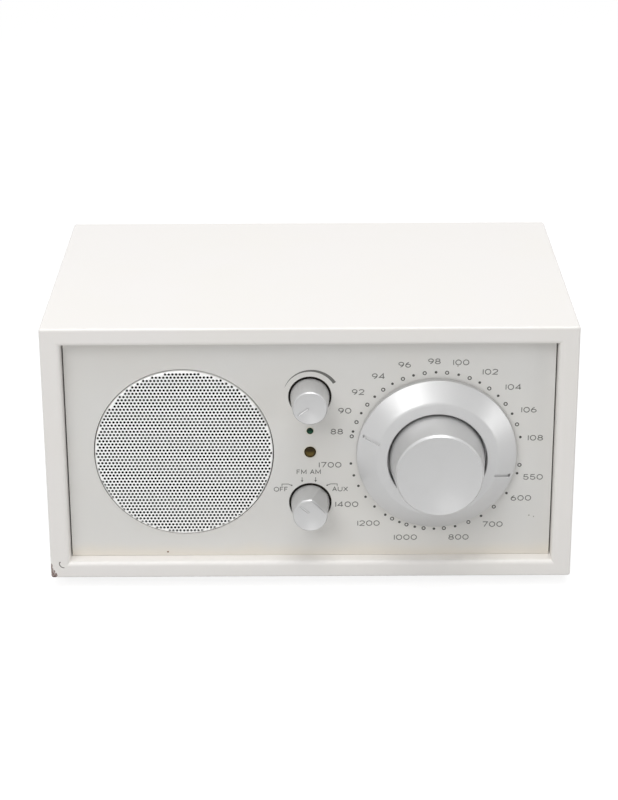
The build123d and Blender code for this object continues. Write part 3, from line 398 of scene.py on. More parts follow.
@dataclass(frozen=True)
class Chip(Blemish):
    """A ragged spot where a finish is gone, with flecks of it left."""

    ragged: float = 0.5
    stretch: Place = (1.0, 1.0, 1.0)
    flecks: float = 0.0
    fleck_size: float = 0.55

    def cover(self, g: Graph) -> Signal:
        """Spot that fades over its edge.

        Args:
            g: The finish's graph.

        Returns:
            One inside the spot, else zero.
        """
        edge = g.noise(self.radius * 0.8, 4, 0.7)
        reach = g.distance(self.centre(), self.stretch) / (self.radius * MM)
        spot = 1 - (reach + self.ragged * edge.centred() * 2).between(0.75, 1.0)
        left = g.noise(self.fleck_size, 3, 0.7, g.from_point((self.radius, 0, 0)))
        return spot * (1 - self.flecks * left.between(0.52, 0.6))


@dataclass(frozen=True)
class Scratch(Blemish):
    """A thin curved scratch: the lower left quarter of a ring on an upright face."""

    width: float = 0.3

    def cover(self, g: Graph) -> Signal:
        """Line along the scratch.

        Args:
            g: The finish's graph.

        Returns:
            One on the line, else zero.
        """
        x, _, z = g.axes(g.from_point(self.centre()))
        off = (g.distance(self.centre()) - self.radius * MM).size() / (self.width * MM)
        wander = 0.5 + g.noise(0.5)
        side = (1 - x.between(-0.2 * MM, 0.4 * MM)) * (1 - z.between(0.4 * MM, 1.0 * MM))
        return (1 - (off * wander).between(0.4, 0.9)) * side


@dataclass(frozen=True)
class Lacquer(Finish):
    """Sprayed lacquer with faint orange peel, dust in it and chips along its edges."""

    colour: Colour
    warm: Colour
    roughness: float = 0.34
    peel: float = 0.012
    coat: float = 0.25
    blemishes: Tuple[Blemish, ...] = ()

    def paint(self, g: Graph) -> None:
        """Lays the finish.

        Args:
            g: The material's graph.
        """
        cloud = g.noise(55, 3, 0.55)
        colour = g.blend(cloud.between(0.35, 0.75) * 0.5, self.colour, self.warm)
        dust = g.noise(0.9).between(0.68, 0.8)
        colour = g.blend(dust * 0.08, colour, scaled(self.warm, 0.8))
        rough = self.roughness + 0.08 * g.noise(18, 4).centred() + 0.05 * dust
        for mark in self.blemishes:
            colour, rough = mark.lay_over(g, colour, rough)
        normal = g.bump(g.noise(1.6, 2, 0.4), self.peel)
        g.surface(
            Base_Color=colour,
            Roughness=rough,
            Normal=normal,
            Coat_Weight=self.coat,
            Coat_Roughness=0.25,
        )


@dataclass(frozen=True)
class PowderPaint(Finish):
    """Satin paint on a plate or sheet, with a fine grain, slight clouding and painted warm bounce
    light at its foot.
    """

    colour: Colour
    warm: Colour
    roughness: float = 0.42
    grain: float = 0.006
    metallic: float = 0.0
    # Colour and heights of the painted warm bounce light at the foot.
    painted_foot_glow: Optional[Colour] = None
    painted_foot_glow_top: Point = (0.0, 7.0)
    blemishes: Tuple[Blemish, ...] = ()

    def paint(self, g: Graph) -> None:
        """Lays the finish.

        Args:
            g: The material's graph.
        """
        colour = g.blend(g.noise(40, 3).between(0.3, 0.8) * 0.6, self.colour, self.warm)
        speck = g.cells(2.3).between(0.0, 0.12)
        colour = g.blend((1 - speck) * 0.06, colour, scaled(self.warm, 0.7))
        rough = self.roughness + 0.1 * g.noise(12, 4).centred()
        # Painted light: a warm cream glow over the foot, standing in for light thrown up from the
        # bright ledge below.
        if self.painted_foot_glow:
            height = g.axes()[2] + 5 * MM * g.noise(16, 3).centred()
            low = 1 - height.between(*(level * MM for level in self.painted_foot_glow_top))
            colour = g.blend(low * 0.6, colour, self.painted_foot_glow)
        for mark in self.blemishes:
            colour, rough = mark.lay_over(g, colour, rough)
        normal = g.bump(g.noise(0.35, 3, 0.6), self.grain, g.bump(g.noise(3.5), 0.01))
        g.surface(Base_Color=colour, Roughness=rough, Normal=normal, Metallic=self.metallic)


class Grain(Enum):
    """How a metal was left: size, octaves and their weight, and stretch of its grain."""

    BLASTED = (0.16, 3, 0.65, None)
    TURNED = (0.3, 2, 0.6, (1, 5, 1))
    ROLLED = (1.8, 4, 0.6, None)


@dataclass(frozen=True)
class Metal(Finish):
    """Metal or metallic paint with the grain that its maker left on it."""

    colour: Colour
    tarnish: Colour
    grain: Grain
    metallic: float = 1.0
    roughness: float = 0.35
    depth: float = 0.004
    tarnished: float = 0.3

    def paint(self, g: Graph) -> None:
        """Lays the finish.

        Args:
            g: The material's graph.
        """
        *texture, stretch = self.grain.value
        fine = g.noise(*texture, g.from_point((0, 0, 0), stretch) if stretch else None)
        smear = g.noise(7, 4, 0.6)
        colour = g.blend(smear.between(0.5, 0.85) * self.tarnished, self.colour, self.tarnish)
        colour = g.blend(fine.centred().size() * 0.25, colour, self.tarnish)
        rough = self.roughness + 0.12 * fine.centred() + 0.1 * smear.centred()
        normal = g.bump(fine, self.depth)
        g.surface(Base_Color=colour, Roughness=rough, Metallic=self.metallic, Normal=normal)


@dataclass(frozen=True)
class Moulded(Finish):
    """Moulded plastic or rubber with a spark-eroded texture and a little bloom."""

    colour: Colour
    bloom: Colour
    roughness: float
    grain_size: float
    grain: float

    def paint(self, g: Graph) -> None:
        """Lays the finish.

        Args:
            g: The material's graph.
        """
        fine = g.noise(self.grain_size, 3, 0.6)
        cloud = g.noise(9, 4, 0.6)
        colour = g.blend(cloud.between(0.45, 0.85) * 0.5, self.colour, self.bloom)
        colour = g.blend(g.corners().between(0.53, 0.6) * 0.25, colour, self.bloom)
        rough = self.roughness + 0.1 * cloud.centred() + 0.08 * fine.centred()
        g.surface(Base_Color=colour, Roughness=rough, Normal=g.bump(fine, self.grain))


@dataclass(frozen=True)
class PressedFibre(Finish):
    """Pressed board or paper pulp: short fibres that lie every way."""

    colour: Colour
    fibre: Colour
    roughness: float = 0.8
    depth: float = 0.05
    fibre_size: float = 0.8

    def paint(self, g: Graph) -> None:
        """Lays the finish.

        Args:
            g: The material's graph.
        """
        along, across = (
            g.noise(self.fibre_size, 3, 0.7, g.from_point(origin, stretch))
            for origin, stretch in (((0, 0, 0), (0.25, 1, 1)), ((0.3, 0, 0), (1, 1, 0.25)))
        )
        felt = along.either(across)
        colour = g.blend(felt.between(0.45, 0.7), self.colour, self.fibre)
        colour = g.blend(g.noise(14).between(0.4, 0.8) * 0.3, colour, self.colour)
        rough = self.roughness + 0.1 * felt.centred()
        g.surface(Base_Color=colour, Roughness=rough, Normal=g.bump(felt, self.depth))


@dataclass(frozen=True)
class CircuitBoard(Finish):
    """Green solder mask over copper tracks that run along and across."""

    mask: Colour
    copper: Colour
    track: float = 2.2

    def paint(self, g: Graph) -> None:
        """Lays the finish.

        Args:
            g: The material's graph.
        """
        x, y, z = g.axes()
        turn = g.noise(9, 0).above(0.5)
        step = 2 * math.pi * per(self.track)
        runs = turn * (x * step).wave() + (1 - turn) * ((y + z) * step).wave()
        track = runs.between(0.1, 0.3)
        pad = 1 - g.cells(3.5).between(0.12, 0.18)
        colour = g.blend(track * 0.6, self.mask, scaled(self.mask, 1.7))
        colour = g.blend(pad, colour, self.copper)
        rough = 0.35 + 0.15 * pad
        normal = g.bump(track.either(pad), 0.04)
        g.surface(Base_Color=colour, Roughness=rough, Metallic=pad * 0.8, Normal=normal)


@dataclass(frozen=True)
class Cloth(Finish):
    """Open weave stiffened with resin."""

    colour: Colour
    thread: Colour
    pitch: float = 0.7
    gloss: float = 0.5

    def paint(self, g: Graph) -> None:
        """Lays the finish.

        Args:
            g: The material's graph.
        """
        x, _, z = g.axes()
        step = math.pi * per(self.pitch)
        weave = (x * step).wave().size().either((z * step).wave().size())
        colour = g.blend(weave.between(0.3, 0.9), self.colour, self.thread)
        colour = g.blend(g.noise(5, 3).between(0.5, 0.8) * 0.3, colour, self.colour)
        g.surface(
            Base_Color=colour,
            Roughness=0.75 + 0.1 * weave.centred(),
            Normal=g.bump(weave, 0.12),
            Specular_IOR_Level=self.gloss,
        )


@dataclass(frozen=True)
class Winding(Finish):
    """Enamelled wire laid turn on turn."""

    colour: Colour
    shade: Colour
    wire: float = 0.35

    def paint(self, g: Graph) -> None:
        """Lays the finish.

        Args:
            g: The material's graph.
        """
        x, _, z = g.axes()
        drift = g.noise(4) * (0.6 * self.wire * MM)
        turns = ((x + z + drift) * (math.pi * per(self.wire))).wave().size()
        colour = g.blend(turns.between(0.1, 0.7), self.shade, self.colour)
        colour = g.blend(g.noise(6, 3).between(0.5, 0.8) * 0.3, colour, self.shade)
        rough = 0.42 - 0.15 * turns
        g.surface(Base_Color=colour, Roughness=rough, Metallic=0.7, Normal=g.bump(turns, 0.1))


@dataclass(frozen=True)
class Lens(Finish):
    """Tinted cast resin of a small round lamp, with painted shade at its edge and over its upper
    half.
    """

    colour: Colour
    # Colour of the painted shade at the edge and over the upper half.
    depth: Colour
    middle: Place
    radius: float
    gloss: float = 0.12

    def paint(self, g: Graph) -> None:
        """Lays the finish.

        Args:
            g: The material's graph.
        """
        size = self.radius * MM
        reach = g.distance(self.middle, (1, 0, 1)) / size
        rise = g.axes(g.from_point(self.middle))[2] / size
        cloud = g.noise(0.9, 3)
        # Painted shade: darker towards the rim and over the upper half, as light falls on the
        # domed lens.
        edge = reach.between(0.3, 0.75).either(rise.between(-0.25, 0.3) * 0.85)
        colour = g.blend(edge, self.colour, self.depth)
        colour = g.blend(cloud.between(0.45, 0.75) * 0.25, colour, self.depth)
        g.surface(
            Base_Color=colour,
            Roughness=0.07 + 0.04 * g.noise(0.6).centred(),
            Normal=g.bump(cloud, 0.003),
            IOR=1.5,
            Specular_IOR_Level=self.gloss,
        )


@dataclass(frozen=True)
class Ink(Finish):
    """Screen-printed ink: thin, with soft uneven cover."""

    colour: Colour
    thin: Colour

    def paint(self, g: Graph) -> None:
        """Lays the finish.

        Args:
            g: The material's graph.
        """
        cover = g.noise(0.5, 3, 0.6)
        colour = g.blend(cover.between(0.55, 0.8) * 0.6, self.colour, self.thin)
        rough = 0.5 + 0.12 * cover.centred()
        g.surface(Base_Color=colour, Roughness=rough, Normal=g.bump(cover, 0.004))


WHITE = tone(244, 241, 238)
BARE_WOOD = tone(132, 112, 106)
DEEP_WOOD = tone(96, 74, 70)
SCUFF = tone(112, 106, 102)
# Colour of the painted warm bounce light at the faceplate's foot.
GLOW_CREAM = tone(236, 228, 214)


def cabinet_chips() -> Tuple[Blemish, ...]:
    """Chips of bare wood at the cabinet's lower left front corner, with a scuff beside them."""
    x, y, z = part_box("cabinet")[0] / MM
    return (
        Chip((x + 0.2, y, z + 4.9), 1.2, BARE_WOOD, ragged=0.9, flecks=0.7, stretch=(1.6, 1, 0.7)),
        Chip((x + 0.6, y, z + 3.0), 1.5, BARE_WOOD, ragged=1.0, flecks=0.8, stretch=(1.1, 1, 0.9)),
        Chip((x + 1.3, y, z + 1.2), 1.6, BARE_WOOD, ragged=0.9, flecks=0.8),
        Chip((x + 1.4, y, z + 0.2), 1.0, DEEP_WOOD, ragged=0.8),
        Chip((x + 3.95, y, z + 7.15), 0.32, SCUFF),
        Scratch((x + 5.5, y, z + 6.6), 1.85, SCUFF),
    )


def choose_finishes() -> Dict[str, Finish]:
    """Gives every material slot and printed piece its finish.

    Returns:
        The finishes by slot.
    """
    _, front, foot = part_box("faceplate")[0] / MM
    specks = (
        Chip((-58.7, front, 13.6), 0.45, tone(128, 96, 80)),
        Chip((89.4, front, 29.6), 0.35, tone(168, 164, 156)),
        Chip((91.3, front, 29.0), 0.3, tone(172, 168, 160)),
        Chip((59.0, front, 95.5), 0.3, tone(176, 172, 164)),
    )
    small_lamp, large_lamp = (
        (middle.x, 0.0, middle.z) for middle in map(middle_of, ("power_led", "tuning_led"))
    )
    return {
        "white_lacquer": Lacquer(WHITE, tone(243, 240, 234), blemishes=cabinet_chips()),
        "fibreboard": PressedFibre(tone(38, 34, 31), tone(66, 58, 50)),
        "plate_paint": PowderPaint(
            tone(230, 229, 226),
            tone(229, 226, 220),
            # painted warm bounce light at the plate's foot
            painted_foot_glow=GLOW_CREAM,
            painted_foot_glow_top=(foot, foot + 7),
            blemishes=specks,
        ),
        "grille_paint": PowderPaint(
            tone(252, 252, 251), tone(250, 250, 248), roughness=0.4, metallic=0.35
        ),
        "silver_aluminium": Metal(
            tone(201, 201, 201),
            tone(188, 188, 187),
            Grain.BLASTED,
            metallic=0.48,
            roughness=0.36,
            depth=0.003,
            tarnished=0.25,
        ),
        "steel": Metal(tone(192, 192, 190), tone(150, 148, 142), Grain.ROLLED, roughness=0.32),
        "dark_steel": Metal(
            tone(84, 84, 88), tone(58, 54, 54), Grain.ROLLED, metallic=0.9, roughness=0.45
        ),
        "nickel": Metal(tone(214, 209, 198), tone(170, 163, 150), Grain.TURNED, roughness=0.22),
        "brass": Metal(tone(214, 178, 104), tone(150, 112, 62), Grain.TURNED, roughness=0.3),
        "copper": Winding(tone(196, 106, 60), tone(96, 42, 24)),
        "ferrite": Moulded(
            tone(46, 46, 50), tone(80, 80, 84), roughness=0.4, grain_size=0.9, grain=0.02
        ),
        "black_rubber": Moulded(
            tone(26, 26, 27), tone(52, 51, 50), roughness=0.7, grain_size=0.4, grain=0.03
        ),
        "black_plastic": Moulded(
            tone(22, 22, 24), tone(48, 48, 50), roughness=0.38, grain_size=0.35, grain=0.02
        ),
        # Near-black board: partly its own colour, partly painted shade for the knob wells seen
        # through the plate.
        "black_board": PressedFibre(
            tone(24, 24, 25), tone(44, 43, 42), roughness=0.62, depth=0.03, fibre_size=0.6
        ),
        "natural_acetal": Moulded(
            tone(232, 228, 214), tone(214, 208, 190), roughness=0.36, grain_size=0.8, grain=0.01
        ),
        "paper": PressedFibre(
            tone(30, 29, 29), tone(58, 56, 53), roughness=0.85, depth=0.06, fibre_size=0.5
        ),
        "spider_cloth": Cloth(tone(150, 112, 60), tone(208, 172, 108)),
        "circuit_board": CircuitBoard(tone(24, 92, 58), tone(206, 196, 170)),
        # The lenses' second colours are painted shade at their rims and upper halves.
        "green_lens": Lens(tone(38, 88, 64), tone(8, 36, 26), small_lamp, radius=1.9),
        "amber_lens": Lens(tone(110, 92, 44), tone(38, 27, 6), large_lamp, radius=3.2),
        "can_sleeve": Moulded(
            tone(28, 40, 92), tone(48, 62, 116), roughness=0.3, grain_size=1.0, grain=0.01
        ),
        "cast_rim": Moulded(
            tone(240, 236, 222), tone(226, 220, 204), roughness=0.4, grain_size=0.6, grain=0.005
        ),
        # Painted shade: a near-black cloth standing in for the dark behind the grille's holes.
        "shade_cloth_behind_grille": Cloth(tone(4, 4, 4), tone(9, 9, 9), pitch=0.5, gloss=0.15),
        "scale_ink": Ink(tone(108, 108, 104), tone(140, 140, 134)),
        "mark_ink": Ink(tone(74, 74, 70), tone(98, 98, 94)),
    }


class Wardrobe:
    """Makes each finish once and puts it on nodes and pieces."""

    def __init__(self, finishes: Dict[str, Finish]) -> None:
        """Takes the finishes, with none made yet."""
        self.finishes = finishes
        self.made: Dict[str, Material] = {}

    def get(self, name: str) -> Material:
        """Gives the material of a finish.

        Args:
            name: Name of the finish.

        Returns:
            The material, made at its first use.
        """
        if name not in self.made:
            self.made[name] = self.finishes[name].make(name)
        return self.made[name]

    def dress_nodes(self) -> None:
        """Puts each CAD node's finish on it, by the slot that it came with."""
        for name, node in frame["nodes"].items():
            for slot in node.material_slots:
                slot.material = self.get(base_name(slot.material))
            log.info("%s wears %s", name, [s.material.name for s in node.material_slots])


# -------------------------------------------------------------------------------- geometry


@dataclass(frozen=True)
class Face:
    """A flat front on which pieces are laid out: millimetres right, up and out of it."""

    x: float
    y: float
    z: float

    def at(self, right: float, up: float, out: float = 0.0) -> Vector:
        """Point in the shared frame, in metres."""
        return Vector((self.x + right * MM, self.y - out * MM, self.z + up * MM))


def turned(u: float, v: float, angle: float) -> Point:
    """Turns a point about the origin by an angle in radians."""
    cos, sin = math.cos(angle), math.sin(angle)
    return u * cos - v * sin, u * sin + v * cos


def arc(centre: Point, radii: Point, start: float, end: float, steps: int) -> List[Point]:
    """Points along an ellipse's arc.

    Args:
        centre: Its centre.
        radii: Its two radii.
        start: First angle in degrees.
        end: Last angle in degrees.
        steps: Parts that the arc is cut into.

    Returns:
        The points, both ends included.
    """
    angles = [math.radians(start + (end - start) * i / steps) for i in range(steps + 1)]
    (x, y), (wide, high) = centre, radii
    return [(x + wide * math.cos(a), y + high * math.sin(a)) for a in angles]


def oval(centre: Point, radii: Point, sides: int) -> List[Point]:
    """Points round a whole ellipse."""
    return arc(centre, radii, 0, 360, sides)[:-1]


def circle(radius: float, sides: int, centre: Point = (0, 0)) -> List[Point]:
    """Points round a circle."""
    return oval(centre, (radius, radius), sides)


def add_piece(name: str, mesh: BMesh, smooth_below: float = 0.0) -> Object:
    """Makes an object of a finished mesh.

    Args:
        name: Name of the piece.
        mesh: Its mesh, freed afterwards.
        smooth_below: Angle in degrees below which an edge is shaded smooth, zero for none.

    Returns:
        The object.
    """
    bmesh.ops.recalc_face_normals(mesh, faces=mesh.faces)
    for piece_face in mesh.faces:
        piece_face.smooth = smooth_below > 0
    data = bpy.data.meshes.new(name)
    mesh.to_mesh(data)
    mesh.free()
    piece = bpy.data.objects.new(name, data)
    bpy.context.scene.collection.objects.link(piece)
    if smooth_below:
        sharpen(piece, smooth_below)
    return piece


def sharpen(piece: Object, angle: float) -> None:
    """Marks the edges of a smooth-shaded piece that are sharper than an angle.

    Args:
        piece: The piece.
        angle: The angle in degrees.
    """
    mesh = bmesh.new()
    mesh.from_mesh(piece.data)
    limit = math.radians(angle)
    for edge in mesh.edges:
        edge.smooth = len(edge.link_faces) == 2 and edge.calc_face_angle(0.0) < limit
    mesh.to_mesh(piece.data)
    mesh.free()


def add_band(mesh: BMesh, near: List[BMVert], far: List[BMVert]) -> None:
    """Joins two closed rings, of equal length or a single point, by a band of faces.

    Args:
        mesh: Where it is added.
        near: Vertices of one ring.
        far: Vertices of the other.
    """
    sides = max(len(near), len(far))
    for i in range(sides):
        j = (i + 1) % sides
        pairs = ((near, i), (near, j), (far, j), (far, i))
        mesh.faces.new(list(dict.fromkeys(ring[k % len(ring)] for ring, k in pairs)))


def add_skin(mesh: BMesh, rings: Sequence[List[Vector]]) -> List[List[BMVert]]:
    """Adds a skin over rings of points, each ring of equal length or a single point.

    Args:
        mesh: Where it is added.
        rings: The rings in order.

    Returns:
        The vertices of each ring.
    """
    levels = [[mesh.verts.new(point) for point in ring] for ring in rings]
    for near, far in zip(levels, levels[1:]):
        add_band(mesh, near, far)
    return levels


def add_prism(mesh: BMesh, face: Face, loops: Sequence[List[Point]], layer: Point) -> None:
    """Adds a closed prism over an outline, or over the band between two outlines of equal length.

    Args:
        mesh: Where it is added.
        face: The front that the points are on.
        loops: One outline, or an outer and an inner one.
        layer: Heights of its underside and top.
    """
    walls = [
        add_skin(mesh, [[face.at(u, v, out) for u, v in loop] for out in layer]) for loop in loops
    ]
    for level in (0, 1):
        if len(walls) == 1:
            mesh.faces.new(walls[0][level])
        else:
            add_band(mesh, walls[0][level], walls[1][level])


def add_ribbon(
    mesh: BMesh,
    face: Face,
    points: List[Point],
    width: float,
    layer: Point,
    closed: bool = False,
) -> None:
    """Adds a flat stroke of even width with mitred corners.

    Args:
        mesh: Where it is added.
        face: The front that the points are on.
        points: The stroke's middle line.
        width: Its width.
        layer: Heights of its underside and top.
        closed: Whether it runs round to its start.
    """
    sharpest = 0.4
    count = len(points)
    sides: Tuple[List[Point], List[Point]] = ([], [])
    for i, (x, y) in enumerate(points):
        before = points[i - 1] if closed or i else None
        after = points[(i + 1) % count] if closed or i < count - 1 else None
        normals = []
        for a, b in ((before, (x, y)), ((x, y), after)):
            if a is not None and b is not None:
                run = Vector((b[0] - a[0], b[1] - a[1])).normalized()
                normals.append(Vector((-run.y, run.x)))
        across = sum(normals, Vector((0, 0))).normalized()
        reach = width / 2 / max(sharpest, across.dot(normals[0]))
        for side, sign in zip(sides, (1, -1)):
            side.append((x + across.x * reach * sign, y + across.y * reach * sign))
    add_prism(mesh, face, sides if closed else [sides[0] + sides[1][::-1]], layer)


def carve(piece: Object, tool: BMesh) -> None:
    """Cuts the shape of a closed mesh out of a piece.

    Args:
        piece: The piece, changed in place.
        tool: The mesh, freed afterwards.
    """
    cutter = add_piece("cutter", tool, ALL_SMOOTH)
    cut = piece.modifiers.new("cut", "BOOLEAN")
    cut.object = cutter
    cut.solver = "EXACT"
    cut.operation = "DIFFERENCE"
    view = bpy.context.evaluated_depsgraph_get()
    carved = bpy.data.meshes.new_from_object(piece.evaluated_get(view))
    piece.modifiers.clear()
    piece.data = carved
    bpy.data.objects.remove(cutter)


# ------------------------------------------------------------------------------- lettering


Strokes = List[Tuple[List[Point], bool]]


def glyph_strokes(sign: str) -> Tuple[float, Strokes]:
    """Middle lines of a plain wide letter or digit, one unit high.

    Args:
        sign: The letter or digit.

    Returns:
        Its width, and its strokes with whether each is closed.
    """
    w = {"1": 0.0, "0": 1.04, "O": 1.05, "M": 1.05, "4": 1.0, "F": 0.66}.get(sign, 0.9)
    h = w / 2
    ring = (oval((h, 0.5), (h, 0.5), 24), True)
    bowl = (oval((h, 0.3), (h, 0.3), 20), True)
    tail = (arc((w * 0.95, 0.3), (w * 0.95, 0.7), 180, 108, 8), False)
    hook = [(w * 0.92, 1), (w * 0.14, 1), (w * 0.08, 0.52)]
    lines: Dict[str, Strokes] = {
        "0": [ring],
        "O": [ring],
        "1": [([(0, 0), (0, 1)], False)],
        "2": [(arc((h, 0.72), (h, 0.28), 170, -35, 10) + [(0, 0), (w, 0)], False)],
        "4": [([(w * 0.76, 0), (w * 0.76, 1), (0, 0.27), (w, 0.27)], False)],
        "5": [(hook + arc((h, 0.3), (h, 0.3), 125, -165, 14), False)],
        "6": [bowl, tail],
        "7": [([(0, 1), (w, 1), (w * 0.32, 0)], False)],
        "8": [
            (oval((h, 0.26), (h, 0.26), 20), True),
            (oval((h, 0.76), (h * 0.84, 0.24), 20), True),
        ],
        "9": [([(w - x, 1 - y) for x, y in line], closed) for line, closed in (bowl, tail)],
        "F": [([(w, 1), (0, 1), (0, 0)], False), ([(0, 0.52), (w * 0.8, 0.52)], False)],
        "M": [([(0, 0), (0, 1), (h, 0.2), (w, 1), (w, 0)], False)],
        "A": [([(0, 0), (h, 1), (w, 0)], False), ([(w * 0.2, 0.33), (w * 0.8, 0.33)], False)],
        "U": [([(0, 1)] + arc((h, 0.36), (h, 0.36), 180, 360, 12) + [(w, 1)], False)],
        "X": [([(0, 0), (w, 1)], False), ([(0, 1), (w, 0)], False)],
    }
    return w, lines[sign]


@dataclass(frozen=True)
class Lettering:
    """Size of printed words and numbers, in millimetres."""

    height: float = 2.45
    stroke: float = 0.34
    gap: float = 0.7
    layer: Point = (-0.02, 0.03)
    lift: float = 0.001

    def add_word(self, mesh: BMesh, face: Face, word: str, centre: Point) -> None:
        """Adds a word about a centre.

        Args:
            mesh: Where it is added.
            face: The front that it is printed on.
            word: The word.
            centre: Its middle.
        """
        inner = self.height - self.stroke
        gap = self.gap + self.stroke * 0.4
        glyphs = [glyph_strokes(sign) for sign in word]
        total = sum(w for w, _ in glyphs) * inner + (len(word) - 1) * gap
        x = centre[0] - total / 2
        low = centre[1] - inner / 2
        for w, lines in glyphs:
            for index, (line, closed) in enumerate(lines):
                points = [(x + u * inner, low + v * inner) for u, v in line]
                layer = (self.layer[0], self.layer[1] + self.lift * index)
                add_ribbon(mesh, face, points, self.stroke, layer, closed)
            x += w * inner + gap


# ------------------------------------------------------------------------------ the pieces


@dataclass
class Assembly:
    """One group of pieces: the front that it is laid out on and the body that it rides on."""

    face: Face
    wardrobe: Wardrobe
    body: str = "chassis"

    def dress(self, piece: Object, finish: str, instead_of: str = "", rides: bool = True) -> None:
        """Gives a piece its finish, sets it on its body and hides the CAD node that it replaces.

        Args:
            piece: The piece.
            finish: Name of the finish.
            instead_of: CAD node that it replaces and hides, if any.
            rides: Whether it rides on the body.
        """
        piece.data.materials.append(self.wardrobe.get(finish))
        if rides:
            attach(piece, self.body)
        if instead_of:
            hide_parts(instead_of)
        log.info("%s: %s on %s, %d faces", piece.name, finish, self.body, len(piece.data.polygons))


Hole = Tuple[int, int]


@dataclass
class Grille(Assembly):
    """Perforated round sheet with a rolled edge, and a near-black cloth behind it that is painted
    shade for the holes.
    """

    radius: float = 36.0
    proud: float = 0.9
    sheet: float = 0.2
    bend: float = 0.9
    bend_shares: Tuple[float, ...] = (0.0, 0.4, 0.7, 0.9)
    skirt: float = 1.9
    rim_sides: int = 240
    rim_web: float = 0.12
    pitch: Point = (1.47, 1.38)
    hole: float = 0.53
    hole_sides: int = 14
    hole_gap: float = 0.04
    cloth: float = 0.2
    cloth_depth: float = 1.3
    cloth_sides: int = 96
    near: float = 1e-3
    merge: float = 1e-6

    def middle(self, hole: Hole) -> Point:
        """Centre of the hole in a row and column; each second row is shifted by half a pitch."""
        row, column = hole
        return (column + 0.5 * (row % 2)) * self.pitch[0], row * self.pitch[1]

    def punch(self) -> Dict[Hole, Point]:
        """Lays the holes out in staggered rows.

        Returns:
            The centre of each hole by its row and column.
        """
        reach = self.radius - self.hole - self.rim_web
        rows = int(reach / self.pitch[1]) + 1
        columns = int(reach / self.pitch[0]) + 2
        places = [(r, c) for r in range(-rows, rows + 1) for c in range(-columns, columns + 1)]
        return {p: self.middle(p) for p in places if math.hypot(*self.middle(p)) < reach}

    def in_hole(self, x: float, z: float, holes: Dict[Hole, Point], reach: float) -> bool:
        """Whether a point lies within a hole.

        Args:
            x: Millimetres right of the middle.
            z: Millimetres above the middle.
            holes: The holes.
            reach: Radius that counts as the hole's.

        Returns:
            True if it does.
        """
        row = round(z / self.pitch[1])
        for r in (row - 1, row, row + 1):
            column = round(x / self.pitch[0] - 0.5 * (r % 2))
            for c in (column - 1, column, column + 1):
                if (r, c) in holes and math.dist((x, z), holes[r, c]) < reach:
                    return True
        return False

    def levels(self, x: float, z: float) -> Tuple[Point, Point]:
        """Radius factor and height of the sheet's front and back at a flat point.

        Args:
            x: Millimetres right of the middle.
            z: Millimetres above the middle.

        Returns:
            Factor and height of the front, then of the back.
        """
        reach = math.hypot(x, z)
        turn = min(1.0, max(0.0, (reach - (self.radius - self.bend)) / self.bend))
        drop = math.sqrt(max(0.0, 1 - turn * turn))
        front = self.proud - self.bend + self.bend * drop
        back = front - self.sheet * drop
        return (1.0, front), (1 - self.sheet * turn / max(reach, 1.0), back)

    def build(self) -> None:
        """Makes and dresses the sheet with its holes, and the cloth."""
        holes = self.punch()
        loops = [circle(self.hole, self.hole_sides, centre) for centre in holes.values()]
        loops.append(circle(self.radius, self.rim_sides))
        points: List[Vector] = []
        edges: List[Tuple[int, int]] = []
        for loop in loops:
            first, count = len(points), len(loop)
            points += [Vector(point) for point in loop]
            edges += [(first + i, first + (i + 1) % count) for i in range(count)]
        keep_off = self.hole + self.hole_gap
        for share in self.bend_shares:
            ring = circle(self.radius - self.bend * (1 - share), self.rim_sides)
            points += [Vector(p) for p in ring if not self.in_hole(*p, holes, keep_off)]
        flat, _, faces, *_ = geometry.delaunay_2d_cdt(points, edges, [], 0, self.merge)
        self.dress(self.thicken(flat, faces, holes), "grille_paint", "speaker_grille")
        self.hang_shade_cloth()

    def hang_shade_cloth(self) -> None:
        """Makes and dresses the near-black cloth behind the sheet, painted shade that darkens the
        holes.
        """
        mesh = bmesh.new()
        outline = circle(self.radius - 2 * self.sheet, self.cloth_sides)
        add_prism(mesh, self.face, [outline], (-self.cloth_depth - self.cloth, -self.cloth_depth))
        self.dress(add_piece("shade_cloth_behind_grille", mesh), "shade_cloth_behind_grille")

    def thicken(
        self, flat: List[Vector], faces: List[List[int]], holes: Dict[Hole, Point]
    ) -> Object:
        """Gives the flat pattern its thickness, rolled edge and skirt.

        Args:
            flat: Points of the pattern.
            faces: Its triangles, holes included.
            holes: The holes.

        Returns:
            The piece.
        """
        mesh = bmesh.new()
        front, back = [], []
        for x, z in flat:
            for side, (factor, out) in zip((front, back), self.levels(x, z)):
                side.append(mesh.verts.new(self.face.at(x * factor, z * factor, out)))
        inside = self.hole * math.cos(math.pi / self.hole_sides)
        sides: Dict[Tuple[int, int], None] = {}
        for tri in faces:
            x, z = (sum(flat[i][axis] for i in tri) / len(tri) for axis in (0, 1))
            if self.in_hole(x, z, holes, inside):
                continue
            mesh.faces.new([front[i] for i in tri])
            mesh.faces.new([back[i] for i in reversed(tri)])
            sides.update(dict.fromkeys(zip(tri, tri[1:] + tri[:1])))
        rim: Dict[int, List[BMVert]] = {}
        inner = 1 - self.sheet / self.radius
        for a, b in sides:
            if (b, a) in sides:
                continue
            if min(flat[a].length, flat[b].length) <= self.radius - self.near:
                mesh.faces.new((front[b], front[a], back[a], back[b]))
                continue
            for i in (a, b):
                if i not in rim:
                    spots = [flat[i] * factor for factor in (1, inner)]
                    rim[i] = [mesh.verts.new(self.face.at(*spot, -self.skirt)) for spot in spots]
            (out_a, in_a), (out_b, in_b) = rim[a], rim[b]
            mesh.faces.new((front[b], front[a], out_a, out_b))
            mesh.faces.new((back[a], back[b], in_b, in_a))
            mesh.faces.new((out_b, out_a, in_a, in_b))
        return add_piece("grille_sheet", mesh)


class Mark(Enum):
    """Kinds of printed dot, by the radii of its outline or outlines."""

    FILLED = (0.55,)
    OPEN = (0.85, 0.45)


